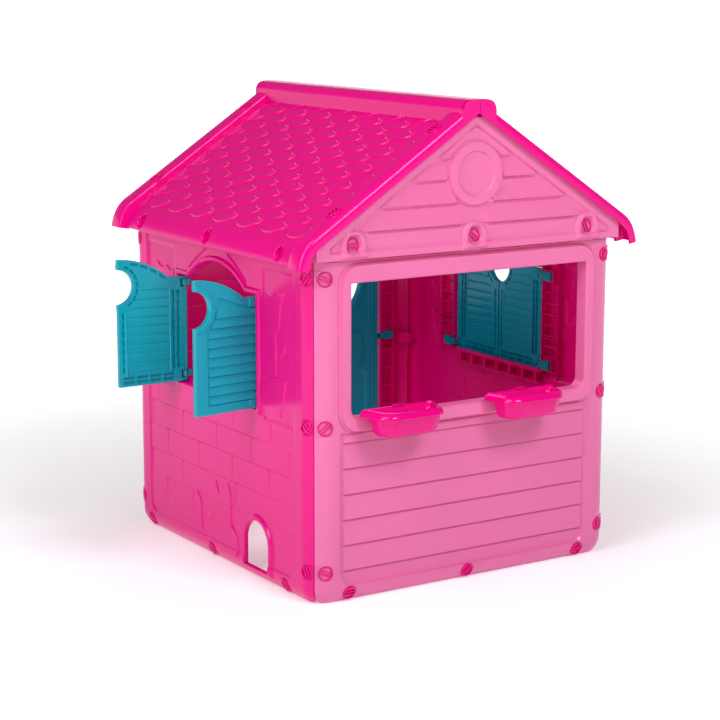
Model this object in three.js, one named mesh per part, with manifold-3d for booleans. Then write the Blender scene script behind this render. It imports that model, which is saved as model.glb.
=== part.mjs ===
// Toddler's playhouse of moulded plastic: four wall panels, two gables, two roof halves, swinging
// shutters and door on snap-in clips, and two flower boxes hooked on the counter's sill.
// Units are millimetres: X to the right of the counter side, Y to the back, Z up.
import * as THREE from "three";
import { mergeVertices } from "three/addons/utils/BufferGeometryUtils.js";
import Module from "manifold-3d";

const wasm = await Module();
wasm.setup();

// ---------- Driving dimensions ----------
const SKIN = 4; // wall thickness of the moulded panels
const DEPTH = 28; // depth of a panel, from its face to the edge of its turned-in rim
const GAP = 0.3; // running gap between pieces that touch
const COARSE = 2; // steps in a corner's arc, where every arc has twice as many segments
const FINE = 7; // steps in a wide arch

// The middle of the house's footprint, seen from the foot of the bounding box, whose centre is the
// origin. The open shutters and the flower boxes reach further on one side than the roof on the other.
const HOUSE = { x: 67, y: 37 };

const WALL = { halfX: 475, halfY: 497, top: 874, foot: 22 }; // foot is a chamfer along the floor
// The walls turn round the house's upright corners and meet there; the end walls turn further.
const CORNER = { radius: 60, endTurn: 49.7, sideTurn: 39.7, flange: 5.7 };
const SIDE_TOP = { half: 437, z: 908 }; // the side walls rise between the gables to meet the roof

const COUNTER = { half: 369, sill: 477, head: 818, radius: 25 };
const COUNTER_FRAME = { half: 397, low: 440, high: 865, radius: 50, proud: 12 };
const TONGUE = { half: 30, top: 936 };
const GABLE_SCREWS = { x: [-365, 0, 365], z: 911 };

const WINDOW = { half: 215, sill: 461, shoulder: 760, arcRadius: 240, arcCentre: 578, rim: 18, proud: 4 };
const MOUSE = { u: 208, half: 61, low: 31, spring: 99, rim: 20, proud: 4 };

const PIVOT = { fromJamb: 11, inset: 12, stile: 7, pin: 3.5 };
const SHUTTER = { low: 465, flatTop: 755, arcRadius: 235, thick: 14, moonZ: 738, moonRadius: 48 };
const SHUTTER_CLIPS = { lower: 484, upper: 738 };
const HOLDER = { reach: 57, half: 17, wall: 4 }; // ribs round a clip's tab inside the wall
const SHUTTER_OPEN = { left_front: 98, left_rear: 90, right_front: 0, right_rear: 0 };

const DOORWAY = { hinge: -354, free: 44, low: 42, high: 848, radius: 10 };
const DOOR = { reach: 383, low: 46, high: 842, portU: 188, portZ: 660, portRadius: 130 };
const DOOR_CLIPS = { lower: 130, middle: 470, upper: 780 };

const GABLE = { proud: 15, low: 876.3, half: 474, flat: 50, depth: 43 };
const BLIND = { z: 1071, outer: 85, inner: 56, proud: 4 };

const ROOF = { skin: 5, halfLength: 524, rake: 60, ridgeEnd: 535, eaveZ: 863, slope: 0.656 };
const RAKE_TOP_AT_RIDGE = 1258.4; // height of the rake's top line, carried up to the middle
const RAKE_FACE = 30; // height of the rake's upright front face
const FIELD_DROP = 26.4; // how far the shingled field lies below the rakes' tops
const RIDGE_TOP = 1259;
const RIDGE = { half: 52, foot: 1222, capLow: 1215, capEdge: 1182 };
const EAVE_SCREWS = { y: [-380, 0, 380], z: 890, pocket: 20.5, boss: 25, seat: 483, face: 499 };
const RAKE_SCREWS = { x: [110, 405], y: 482, shank: 26 };

const PANEL_SHANK = 24; // shank of the gable and eave screws
const SCREW = { head: 19, thick: 3.5, shaft: 8, hole: 9.5, slot: 4, slotDepth: 1.8 };
const CORNER_SCREWS = { z: { low: 84, middle: 457.5, high: 832 }, endTurn: 22, sideTurn: 20, pad: 19.5 };
const CONNECTOR = { half: 15, outer: 31.5, inner: 23 }; // radii of the plate inside each corner

const BOX = { x: { left: -237, right: 146 }, half: 98, rimHalf: 120, low: 434, rimLow: 482, top: 500 };
const BOX_DEPTH = { back: -519, front: -601, rimBack: -511.5, rimFront: -609 };

const RAD = Math.PI / 180;
const pink = { color: 0xe32b8c, roughness: 0.32, metalness: 0 };
const magenta = { color: 0xd9107e, roughness: 0.3, metalness: 0 };
const teal = { color: 0x0a97a6, roughness: 0.35, metalness: 0 };

// ---------- Solids ----------
function solid(geometry) {
  const bare = geometry.clone();
  bare.deleteAttribute("normal");
  bare.deleteAttribute("uv");
  const merged = mergeVertices(bare, 1e-4);
  return new wasm.Manifold(
    new wasm.Mesh({
      numProp: 3,
      vertProperties: merged.attributes.position.array,
      triVerts: new Uint32Array(merged.index.array),
    }),
  );
}

function piece(name, body, finish) {
  const data = body.getMesh();
  const geometry = new THREE.BufferGeometry();
  geometry.setAttribute("position", new THREE.BufferAttribute(data.vertProperties, 3));
  geometry.setIndex(new THREE.BufferAttribute(data.triVerts, 1));
  geometry.computeVertexNormals();
  const mesh = new THREE.Mesh(geometry, new THREE.MeshStandardMaterial(finish));
  mesh.name = name;
  return mesh;
}

function block(x0, x1, y0, y1, z0, z1) {
  const geometry = new THREE.BoxGeometry(x1 - x0, y1 - y0, z1 - z0);
  geometry.translate((x0 + x1) / 2, (y0 + y1) / 2, (z0 + z1) / 2);
  return solid(geometry);
}

// A plate whose outline stands in the XZ plane, from depth y0 to depth y1.
function plate(outline, y0, y1, steps = COARSE) {
  const options = { depth: y1 - y0, bevelEnabled: false, curveSegments: steps };
  const geometry = new THREE.ExtrudeGeometry(outline, options);
  geometry.rotateX(Math.PI / 2).translate(0, y1, 0);
  return solid(geometry);
}

// A prism whose outline lies in the XY plane, from height z0 to height z1.
function prism(outline, z0, z1) {
  const options = { depth: z1 - z0, bevelEnabled: false, curveSegments: COARSE };
  const geometry = new THREE.ExtrudeGeometry(outline, options);
  geometry.translate(0, 0, z0);
  return solid(geometry);
}

function rod(radius, from, to, sides = 12) {
  const start = new THREE.Vector3(...from);
  const along = new THREE.Vector3(...to).sub(start);
  const geometry = new THREE.CylinderGeometry(radius, radius, along.length(), sides);
  const turn = new THREE.Quaternion().setFromUnitVectors(
    new THREE.Vector3(0, 1, 0),
    along.clone().normalize(),
  );
  geometry.applyQuaternion(turn);
  geometry.translate(...start.addScaledVector(along, 0.5).toArray());
  return solid(geometry);
}

// ---------- Outlines ----------
function polygon(points) {
  return new THREE.Shape(points.map(([x, y]) => new THREE.Vector2(x, y)));
}

// A rectangle with its own radius at the two lower and the two upper corners.
function roundedRect(x0, x1, z0, z1, lower, upper = lower) {
  const shape = new THREE.Shape();
  shape.moveTo(x0 + lower, z0);
  shape.lineTo(x1 - lower, z0);
  if (lower > 0) shape.absarc(x1 - lower, z0 + lower, lower, -Math.PI / 2, 0, false);
  shape.lineTo(x1, z1 - upper);
  if (upper > 0) shape.absarc(x1 - upper, z1 - upper, upper, 0, Math.PI / 2, false);
  shape.lineTo(x0 + upper, z1);
  if (upper > 0) shape.absarc(x0 + upper, z1 - upper, upper, Math.PI / 2, Math.PI, false);
  shape.lineTo(x0, z0 + lower);
  if (lower > 0) shape.absarc(x0 + lower, z0 + lower, lower, Math.PI, Math.PI * 1.5, false);
  return shape;
}

// The side window, grown all round by a margin: upright sides, flat shoulders and a shallow arch.
function windowOutline(grow) {
  const half = WINDOW.half + grow;
  const shoulder = WINDOW.shoulder + grow;
  const radius = WINDOW.arcRadius + grow;
  const reach = Math.sqrt(radius ** 2 - (shoulder - WINDOW.arcCentre) ** 2);
  const start = Math.atan2(shoulder - WINDOW.arcCentre, reach);
  const shape = new THREE.Shape();
  shape.moveTo(-half, WINDOW.sill - grow);
  shape.lineTo(half, WINDOW.sill - grow);
  shape.lineTo(half, shoulder);
  shape.absarc(0, WINDOW.arcCentre, radius, start, Math.PI - start, false);
  shape.lineTo(-half, shoulder);
  return shape;
}

// The small arched opening at the foot of a side wall, grown all round and half as much at its foot.
function mouseOutline(grow) {
  const radius = MOUSE.half + grow;
  const shape = new THREE.Shape();
  shape.moveTo(MOUSE.u - radius, MOUSE.low - grow / 2);
  shape.lineTo(MOUSE.u + radius, MOUSE.low - grow / 2);
  shape.absarc(MOUSE.u, MOUSE.spring, radius, 0, Math.PI, false);
  return shape;
}

// ---------- Wall panels, each seen from outside: its face at y = 0 and its rim turned in to +Y ----------
function tray(outline, inner, depth) {
  return plate(outline, 0, depth).subtract(plate(inner, SKIN, depth + 1));
}

// Cuts an opening with a jamb as deep as the panel and a raised moulding round it.
function frameOpening(panel, moulding, opening, proud, steps = COARSE) {
  const raised = plate(moulding(0), -proud, SKIN, steps);
  const jamb = plate(opening(SKIN), -proud, DEPTH, steps);
  const hollow = plate(moulding(-SKIN), SKIN - proud, DEPTH + 1, steps).subtract(jamb);
  const through = plate(opening(0), -proud - 1, DEPTH + 1, steps);
  return panel.add(raised).subtract(hollow).add(jamb).subtract(through);
}

function screwHoles(panel, places) {
  return places.reduce(
    (cut, [u, z]) => cut.subtract(rod(SCREW.hole, [u, -SCREW.head, z], [u, DEPTH / 2, z], 8)),
    panel,
  );
}

// Flat pads with holes for the corner screws, square to the round corners of a panel.
function cornerSeats(panel, half, turn) {
  const { radius } = CORNER;
  const { pad } = CORNER_SCREWS;
  const corner = [half - radius, radius, 0];
  const limit = block(-half, half, 0, DEPTH, 0, WALL.top);
  const tilted = (body) => body.rotate([0, 0, turn]).translate(corner);
  return Object.values(CORNER_SCREWS.z).reduce((sum, z) => {
    const flat = tilted(block(-pad, pad, -radius, SKIN - radius, z - pad, z + pad));
    const hole = tilted(rod(SCREW.hole, [0, -radius - 5, z], [0, DEPTH / 2 - radius, z], 8));
    const seat = flat.intersect(limit);
    const both = sum.add(seat).add(seat.mirror([1, 0, 0]));
    return both.subtract(hole).subtract(hole.mirror([1, 0, 0]));
  }, panel);
}

// Ribs that hold a hinge clip's tab on the inner side of a wall; away is the way from the opening.
function clipHolder(pivotU, away, z) {
  const near = pivotU + away * (PIVOT.fromJamb + SKIN + 1);
  const far = pivotU + away * HOLDER.reach;
  const [left, right] = [Math.min(near, far), Math.max(near, far)];
  const { half, wall } = HOLDER;
  return block(left, right, SKIN - 0.5, DEPTH, z - half, z + half).subtract(
    block(left + wall - 1, right - wall + 1, SKIN, DEPTH + 1, z - half + wall, z + half - wall),
  );
}

// The plan of a panel between two depths behind its face, with both ends turned round the corners.
function panelPlan(half, near, far, turn) {
  const { radius } = CORNER;
  const flat = half - radius;
  const square = -Math.PI / 2;
  const shape = new THREE.Shape();
  shape.absarc(-flat, radius, radius - near, square - turn * RAD, square, false);
  shape.absarc(flat, radius, radius - near, square, square + turn * RAD, false);
  shape.absarc(flat, radius, radius - far, square + turn * RAD, square, true);
  shape.absarc(-flat, radius, radius - far, square, square - turn * RAD, true);
  return shape;
}

// An upright panel with a flange all round, chamfered along its foot.
function uprightPanel(half, top, turn) {
  const slant = [0, Math.SQRT1_2, Math.SQRT1_2];
  const cut = WALL.foot * Math.SQRT1_2;
  const outer = prism(panelPlan(half, 0, DEPTH, turn), 0, top);
  const hollow = prism(panelPlan(half, SKIN, DEPTH + 1, turn - CORNER.flange), SKIN, top - SKIN);
  return outer.trimByPlane(slant, cut).subtract(hollow.trimByPlane(slant, cut + SKIN));
}

// Front and back walls: tongues rise behind the gable for its screws.
function endPanel() {
  const tongues = GABLE_SCREWS.x.map((u) =>
    block(u - TONGUE.half, u + TONGUE.half, 0.5, SKIN + 0.5, WALL.top - SKIN - 2, TONGUE.top),
  );
  const shell = uprightPanel(WALL.halfX, WALL.top, CORNER.endTurn);
  const panel = cornerSeats(shell, WALL.halfX, CORNER_SCREWS.endTurn);
  return screwHoles(
    tongues.reduce((sum, tongue) => sum.add(tongue), panel),
    GABLE_SCREWS.x.map((u) => [u, GABLE_SCREWS.z]),
  );
}

function frontWall() {
  const frame = (grow) =>
    roundedRect(
      -COUNTER_FRAME.half - grow,
      COUNTER_FRAME.half + grow,
      COUNTER_FRAME.low - grow,
      COUNTER_FRAME.high + grow,
      COUNTER_FRAME.radius + grow,
    );
  const opening = (grow) =>
    roundedRect(
      -COUNTER.half - grow,
      COUNTER.half + grow,
      COUNTER.sill - grow,
      COUNTER.head + grow,
      COUNTER.radius + grow,
      3 + grow,
    );
  return frameOpening(endPanel(), frame, opening, COUNTER_FRAME.proud);
}

function backWall() {
  const doorway = (grow) =>
    roundedRect(
      DOORWAY.hinge - grow,
      DOORWAY.free + grow,
      DOORWAY.low - grow,
      DOORWAY.high + grow,
      DOORWAY.radius + grow,
    );
  const moulding = (grow) => doorway(grow + WINDOW.rim);
  const panel = frameOpening(endPanel(), moulding, doorway, WINDOW.proud);
  const holders = Object.values(DOOR_CLIPS).map((z) =>
    clipHolder(DOORWAY.hinge + PIVOT.fromJamb, -1, z),
  );
  return holders.reduce((sum, holder) => sum.add(holder), panel);
}

function sideWall() {
  const { half, z } = SIDE_TOP;
  const rise = block(-half, half, 0, DEPTH, WALL.top - SKIN - 2, z);
  const inside = block(-half + SKIN, half - SKIN, SKIN, DEPTH + 1, WALL.top - SKIN - 3, z - SKIN);
  const shell = uprightPanel(WALL.halfY, WALL.top, CORNER.sideTurn).add(rise).subtract(inside);
  const blank = cornerSeats(shell, WALL.halfY, CORNER_SCREWS.sideTurn);
  const windowed = frameOpening(
    blank,
    (grow) => windowOutline(grow + WINDOW.rim),
    windowOutline,
    WINDOW.proud,
    FINE,
  );
  const arched = (grow) => mouseOutline(grow + MOUSE.rim);
  const panel = frameOpening(windowed, arched, mouseOutline, MOUSE.proud, 4);
  const pivot = WINDOW.half - PIVOT.fromJamb;
  const holders = [-1, 1].flatMap((side) =>
    Object.values(SHUTTER_CLIPS).map((z) => clipHolder(side * pivot, side, z)),
  );
  const held = holders.reduce((sum, holder) => sum.add(holder), panel);
  const eaveHoles = EAVE_SCREWS.y.map((u) => [u, EAVE_SCREWS.z]);
  return screwHoles(held, eaveHoles);
}

// ---------- Hinge clips, shutters and door, each in the frame of its own pivot axis ----------
// The clip's tab lies at +X of the axis, inside the wall, and its arm reaches round the jamb.
function hingeClip(z) {
  const ring = rod(PIVOT.stile - 0.5, [0, 0, z - 8], [0, 0, z + 8], 10);
  const leg = block(-3, 3, 0, 21, z - 8, z + 8);
  const arm = block(-3, 50, 17, 21, z - 8, z + 8);
  const tab = block(19.5, 52.5, 4, 21, z - 12.5, z + 12.5);
  const bore = rod(PIVOT.pin + 0.7, [0, 0, z - 9], [0, 0, z + 9], 10);
  return ring.add(leg).add(arm).add(tab).subtract(bore);
}

// A leaf on a round stile: its notches bare the pin where the clips hold it.
function hungLeaf(outline, low, high, clips, thick) {
  const stile = rod(PIVOT.stile, [0, 0, low], [0, 0, high]);
  const leaf = plate(outline, -thick / 2, thick / 2, 5).add(stile);
  return Object.values(clips).reduce((cut, z) => {
    const notch = block(-12, 14, -12, 12, z - 10.5, z + 10.5);
    const pin = rod(PIVOT.pin, [0, 0, z - 12], [0, 0, z + 12], 10);
    return cut.subtract(notch).add(pin);
  }, leaf);
}

function shutterLeaf() {
  const pivot = WINDOW.half - PIVOT.fromJamb;
  const reach = pivot - 2;
  const rise = SHUTTER.flatTop - WINDOW.arcCentre;
  const start = Math.atan2(rise, -Math.sqrt(SHUTTER.arcRadius ** 2 - rise ** 2));
  const end = Math.acos((reach - pivot) / SHUTTER.arcRadius);
  const dip = Math.sqrt(SHUTTER.moonRadius ** 2 - (reach - pivot) ** 2);
  const moon = Math.atan2(dip, reach - pivot);
  const shape = new THREE.Shape();
  shape.moveTo(0, SHUTTER.low);
  shape.lineTo(reach, SHUTTER.low);
  shape.lineTo(reach, SHUTTER.moonZ - dip);
  shape.absarc(pivot, SHUTTER.moonZ, SHUTTER.moonRadius, -moon, moon, true);
  shape.absarc(pivot, WINDOW.arcCentre, SHUTTER.arcRadius, end, start, false);
  shape.lineTo(0, SHUTTER.flatTop);
  const leaf = hungLeaf(shape, SHUTTER.low, SHUTTER.flatTop, SHUTTER_CLIPS, SHUTTER.thick);
  const sunk = SHUTTER.thick / 2 - 4;
  const panel = roundedRect(30, reach - 24, SHUTTER.low + 24, SHUTTER.moonZ - SHUTTER.moonRadius - 20, 4);
  return leaf.subtract(plate(panel, -9, -sunk)).subtract(plate(panel, sunk, 9));
}

function doorLeaf() {
  const shape = roundedRect(0, DOOR.reach, DOOR.low, DOOR.high, 8);
  const leaf = hungLeaf(shape, DOOR.low, DOOR.high, DOOR_CLIPS, SHUTTER.thick);
  const centre = [DOOR.portU, DOOR.portZ];
  const port = rod(DOOR.portRadius, [centre[0], -9, centre[1]], [centre[0], 9, centre[1]], 32);
  const sunk = SHUTTER.thick / 2 - 4;
  const panel = roundedRect(34, DOOR.reach - 34, 84, 366, 20);
  return leaf.subtract(port).subtract(plate(panel, -9, -sunk)).subtract(plate(panel, sunk, 9));
}

// ---------- Gables ----------
function gableOutline(inset) {
  const top = (x) => RAKE_TOP_AT_RIDGE - 10.4 - ROOF.slope * x - inset * 1.2;
  const half = GABLE.half - inset;
  const flat = GABLE.flat - inset / 2;
  return polygon([
    [-half, GABLE.low + inset],
    [half, GABLE.low + inset],
    [half, top(GABLE.half)],
    [flat, top(GABLE.flat)],
    [-flat, top(GABLE.flat)],
    [-half, top(GABLE.half)],
  ]);
}

function gable() {
  const panel = tray(gableOutline(0), gableOutline(SKIN), GABLE.depth);
  const tongueY = GABLE.proud;
  const slots = GABLE_SCREWS.x.map((u) =>
    block(
      u - TONGUE.half - 1,
      u + TONGUE.half + 1,
      tongueY - 1,
      tongueY + SKIN + 2,
      GABLE.low - 1,
      GABLE.low + SKIN + 1,
    ),
  );
  const slotted = slots.reduce((cut, slot) => cut.subtract(slot), panel);
  const ring = rod(BLIND.outer, [0, -BLIND.proud, BLIND.z], [0, SKIN / 2, BLIND.z], 28).subtract(
    rod(BLIND.inner, [0, -BLIND.proud - 1, BLIND.z], [0, SKIN, BLIND.z], 28),
  );
  const moulded = screwHoles(
    slotted.add(ring),
    GABLE_SCREWS.x.map((u) => [u, GABLE_SCREWS.z]),
  );
  const rakeHoles = [-1, 1].flatMap((side) =>
    RAKE_SCREWS.x.map((x) => {
      const z = RAKE_TOP_AT_RIDGE - ROOF.slope * x;
      const y = WALL.halfY + GABLE.proud - RAKE_SCREWS.y;
      const at = (along) => [side * (x + along), y, z + along / ROOF.slope];
      return rod(SCREW.hole, at(-RAKE_SCREWS.shank), at(RAKE_SCREWS.shank / 2), 8);
    }),
  );
  return rakeHoles.reduce((cut, hole) => cut.subtract(hole), moulded);
}

// ---------- Roof: the right half, in the house's frame ----------
const rakeZ = (x) => RAKE_TOP_AT_RIDGE - ROOF.slope * x;
const fieldZ = (x) => rakeZ(x) - FIELD_DROP;

// The rake's top line, from the ridge roll down round the eave.
function rakePath() {
  const path = new THREE.Path();
  path.moveTo(RIDGE.half - 4, rakeZ(RIDGE.half - 4));
  path.lineTo(487, rakeZ(487));
  path.quadraticCurveTo(523, rakeZ(523), 531, ROOF.eaveZ);
  return path.getPoints(4);
}

// The shingled field's top line, from under the ridge roll down round the eave.
function fieldPath() {
  const path = new THREE.Path();
  path.moveTo(RIDGE.half - 5, fieldZ(RIDGE.half - 5));
  path.lineTo(455, fieldZ(455));
  path.quadraticCurveTo(508, fieldZ(508), 512, ROOF.eaveZ);
  return path.getPoints(4);
}

function ridgePath() {
  const path = new THREE.Path();
  path.moveTo(GAP, RIDGE_TOP);
  path.lineTo(22, RIDGE_TOP - 1);
  path.quadraticCurveTo(RIDGE.half - 2, RIDGE_TOP - 5, RIDGE.half, rakeZ(RIDGE.half) - 3);
  return path.getPoints(4);
}

// The same line, moved in by a thickness square to it. A line runs outwards and downhill.
function offset(points, thickness) {
  return points.map((point, i) => {
    const before = points[Math.max(i - 1, 0)];
    const after = points[Math.min(i + 1, points.length - 1)];
    const inward = new THREE.Vector2(after.y - before.y, before.x - after.x).normalize();
    return point.clone().addScaledVector(inward, thickness);
  });
}

function strip(points, thickness) {
  return new THREE.Shape([...points, ...offset(points, thickness).reverse()]);
}

function roofHalf() {
  const inner = ROOF.halfLength - ROOF.rake;
  const rake = rakePath();
  const field = fieldPath();
  const ridge = ridgePath();
  let roof = plate(strip(field, ROOF.skin), -inner, inner);
  roof = roof.add(plate(strip(ridge, ROOF.skin), -ROOF.ridgeEnd, ROOF.ridgeEnd));
  const { half, foot } = RIDGE;
  const nearRidge = half - ROOF.skin;
  roof = roof.add(block(nearRidge, half, -inner - 1, inner + 1, fieldZ(half) - 3, rakeZ(half) + 1));
  roof = roof.add(block(GAP, SKIN + 1, -ROOF.ridgeEnd, ROOF.ridgeEnd, foot, RIDGE_TOP - 2));
  const riser = new THREE.Shape([...rake, ...offset(field, ROOF.skin).reverse()]);
  const face = new THREE.Shape([
    ...rake,
    new THREE.Vector2(512, ROOF.eaveZ),
    new THREE.Vector2(470, 906),
    new THREE.Vector2(half - 4, rakeZ(half - 4) - RAKE_FACE),
  ]);
  const cap = new THREE.Shape([
    ...ridge,
    new THREE.Vector2(half, RIDGE.capEdge),
    new THREE.Vector2(GAP, RIDGE.capLow),
  ]);
  for (const side of [-1, 1]) {
    const ends = (near, far) => [Math.min(side * near, side * far), Math.max(side * near, side * far)];
    roof = roof.add(plate(strip(rake, ROOF.skin), ...ends(inner, ROOF.halfLength)));
    roof = roof.add(plate(riser, ...ends(inner - 4, inner + 1)));
    roof = roof.add(plate(face, ...ends(ROOF.halfLength - 5, ROOF.halfLength)));
    roof = roof.add(plate(cap, ...ends(ROOF.halfLength - 5, ROOF.ridgeEnd)));
  }
  for (const y of EAVE_SCREWS.y) {
    const at = (x) => [x, y, EAVE_SCREWS.z];
    roof = roof.add(rod(EAVE_SCREWS.boss, at(WALL.halfX + 2), at(EAVE_SCREWS.face)));
    roof = roof.subtract(rod(EAVE_SCREWS.pocket, at(EAVE_SCREWS.seat), at(ROOF.halfLength)));
    roof = roof.subtract(rod(SCREW.hole, at(WALL.halfX), at(EAVE_SCREWS.seat + 1), 8));
  }
  for (const x of RAKE_SCREWS.x) {
    for (const y of [-RAKE_SCREWS.y, RAKE_SCREWS.y]) {
      const at = (along) => [x + along, y, rakeZ(x) + along / ROOF.slope];
      roof = roof.subtract(rod(SCREW.hole, at(-RAKE_SCREWS.shank), at(SCREW.thick * 2), 8));
    }
  }
  return roof;
}

// ---------- Screws: the head's outer side looks to +Z, and the shank goes down ----------
function screw(shank, slotTurn) {
  const head = rod(SCREW.head, [0, 0, 0], [0, 0, SCREW.thick], 12);
  const shaft = rod(SCREW.shaft, [0, 0, -shank], [0, 0, 1], 6);
  const reach = SCREW.head + 1;
  const floor = SCREW.thick - SCREW.slotDepth;
  const slot = block(-reach, reach, -SCREW.slot / 2, SCREW.slot / 2, floor, SCREW.thick + 1);
  return head.add(shaft).subtract(slot.rotate([0, 0, slotTurn]));
}

// Turns a screw so that its head looks along a direction, and moves it there.
function aim(body, place, outward) {
  const turn = new THREE.Quaternion().setFromUnitVectors(
    new THREE.Vector3(0, 0, 1),
    new THREE.Vector3(...outward).normalize(),
  );
  const matrix = new THREE.Matrix4().compose(
    new THREE.Vector3(...place),
    turn,
    new THREE.Vector3(1, 1, 1),
  );
  return body.transform(matrix.toArray());
}

// A plate inside a round corner, with one screw through the end wall and one through the side wall.
// The signs say which corner of the house it is.
function cornerFixing(signX, signY, z, slotTurn) {
  const centre = [WALL.halfX - CORNER.radius, WALL.halfY - CORNER.radius];
  const { half, outer, inner } = CONNECTOR;
  const sector = new THREE.Shape();
  sector.absarc(0, 0, outer, 0, Math.PI / 2, false);
  sector.absarc(0, 0, inner, Math.PI / 2, 0, true);
  const shank = CORNER.radius - inner - 2;
  const screwAt = (turn, slot) => {
    const facing = [Math.cos(turn * RAD), Math.sin(turn * RAD), 0];
    const seat = facing.map((part) => part * (CORNER.radius + GAP));
    return aim(screw(shank, slot), [seat[0], seat[1], z], facing);
  };
  const corner = prism(sector, z - half, z + half)
    .add(screwAt(CORNER_SCREWS.sideTurn, -slotTurn))
    .add(screwAt(90 - CORNER_SCREWS.endTurn, slotTurn))
    .translate([...centre, 0]);
  const across = signX < 0 ? corner.mirror([1, 0, 0]) : corner;
  return signY < 0 ? across.mirror([0, 1, 0]) : across;
}

// ---------- Flower box: a trough with a rolled rim and one hook over the sill ----------
function flowerBox(x) {
  const wall = 3;
  const { back, front, rimBack, rimFront } = BOX_DEPTH;
  const outline = (half, near, far, radius) => roundedRect(x - half, x + half, near, far, radius);
  const body = prism(outline(BOX.half, front, back, 28), BOX.low, BOX.top - 1);
  const rim = prism(outline(BOX.rimHalf, rimFront, rimBack, 34), BOX.rimLow, BOX.top);
  const hollowRim = prism(
    outline(BOX.rimHalf - wall, rimFront + wall, rimBack - wall, 31),
    BOX.rimLow - 1,
    BOX.top - wall,
  );
  const cavity = prism(
    outline(BOX.half - wall, front + wall, back - wall, 25),
    BOX.low + wall,
    BOX.top + 1,
  );
  const sillTop = COUNTER.sill + 1;
  const inside = -WALL.halfY + DEPTH + 4;
  const hookHalf = 18;
  const bridge = block(x - hookHalf, x + hookHalf, rimBack - wall, inside + wall, sillTop, sillTop + 5);
  const bite = block(x - hookHalf, x + hookHalf, inside, inside + wall, sillTop - 24, sillTop + 5);
  const root = block(x - hookHalf, x + hookHalf, back - 2, rimBack, sillTop, BOX.top - 1);
  return rim.subtract(hollowRim).add(body).subtract(cavity).add(root).add(bridge).add(bite);
}

// ---------- Assembly ----------
const house = new THREE.Group();
house.position.set(HOUSE.x, HOUSE.y, 0);

// Each wall's group has the panel's face at y = 0, looking to -Y before it is turned.
function side(x, y, degrees) {
  const group = new THREE.Group();
  group.position.set(x, y, 0);
  group.rotation.z = degrees * RAD;
  house.add(group);
  return group;
}

const frontSide = side(0, -WALL.halfY, 0);
const rightSide = side(WALL.halfX, 0, 90);
const backSide = side(0, WALL.halfY, 180);
const leftSide = side(-WALL.halfX, 0, -90);

frontSide.add(piece("front_wall", frontWall(), pink));
backSide.add(piece("back_wall", backWall(), pink));
leftSide.add(piece("left_wall", sideWall(), pink));
rightSide.add(piece("right_wall", sideWall(), pink));

for (const [name, wall] of [
  ["front_gable", frontSide],
  ["back_gable", backSide],
]) {
  const mesh = piece(name, gable(), pink);
  mesh.position.y = -GABLE.proud;
  wall.add(mesh);
}

// Hangs a leaf and its clips on a wall. Hand is +1 where the pivot is at the wall's right, seen from
// outside, and the leaf is turned outwards by its opening angle.
function hang(wall, name, leaf, hand, pivotU, clips, degrees) {
  const mesh = piece(name, leaf, teal);
  mesh.position.set(pivotU, PIVOT.inset, 0);
  mesh.scale.x = -hand;
  mesh.rotation.z = hand * degrees * RAD;
  wall.add(mesh);
  for (const [place, z] of Object.entries(clips)) {
    const clip = piece(`${name}_${place}_clip`, hingeClip(z), teal);
    clip.position.set(pivotU, PIVOT.inset, 0);
    clip.scale.x = hand;
    wall.add(clip);
  }
}

const shutterPivot = WINDOW.half - PIVOT.fromJamb;
for (const [name, wall, hand] of [
  ["left_front", leftSide, 1],
  ["left_rear", leftSide, -1],
  ["right_front", rightSide, -1],
  ["right_rear", rightSide, 1],
]) {
  const open = SHUTTER_OPEN[name];
  hang(wall, `shutter_${name}`, shutterLeaf(), hand, hand * shutterPivot, SHUTTER_CLIPS, open);
}
hang(backSide, "door", doorLeaf(), -1, DOORWAY.hinge + PIVOT.fromJamb, DOOR_CLIPS, 0);

// The two roof halves are one moulding: the left one is turned half round.
for (const [name, degrees] of [
  ["roof_right", 0],
  ["roof_left", 180],
]) {
  const mesh = piece(name, roofHalf(), magenta);
  mesh.rotation.z = degrees * RAD;
  house.add(mesh);
}

for (const [end, signY] of [
  ["front", -1],
  ["back", 1],
]) {
  for (const [flank, signX] of [
    ["left", -1],
    ["right", 1],
  ]) {
    Object.entries(CORNER_SCREWS.z).forEach(([height, z], i) => {
      const name = `corner_${end}_${flank}_${height}`;
      house.add(piece(name, cornerFixing(signX, signY, z, 35 + 20 * i), magenta));
    });
    RAKE_SCREWS.x.forEach((x, i) => {
      const height = ["upper", "lower"][i];
      const across = signX * (x + GAP * ROOF.slope);
      const place = [across, signY * RAKE_SCREWS.y, rakeZ(x) + GAP];
      const body = aim(screw(RAKE_SCREWS.shank, 30 + 45 * i), place, [signX * ROOF.slope, 0, 1]);
      house.add(piece(`rake_screw_${end}_${flank}_${height}`, body, magenta));
    });
  }
  GABLE_SCREWS.x.forEach((x, i) => {
    const place = [x, signY * (WALL.halfY + GABLE.proud + GAP), GABLE_SCREWS.z];
    const body = aim(screw(PANEL_SHANK, 40 + 25 * i), place, [0, signY, 0]);
    house.add(piece(`gable_screw_${end}_${["left", "middle", "right"][i]}`, body, magenta));
  });
}

for (const [flank, signX] of [
  ["left", -1],
  ["right", 1],
]) {
  EAVE_SCREWS.y.forEach((y, i) => {
    const place = [signX * (EAVE_SCREWS.seat + GAP), y, EAVE_SCREWS.z];
    const body = aim(screw(PANEL_SHANK, 25 + 30 * i), place, [signX, 0, 0]);
    house.add(piece(`eave_screw_${flank}_${["front", "middle", "rear"][i]}`, body, magenta));
  });
}

for (const [name, x] of Object.entries(BOX.x)) {
  house.add(piece(`flower_box_${name}`, flowerBox(x), magenta));
}

export default house;
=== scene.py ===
import math

import bmesh
import bpy
import numpy as np
from mathutils import Matrix, Vector, geometry


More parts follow.
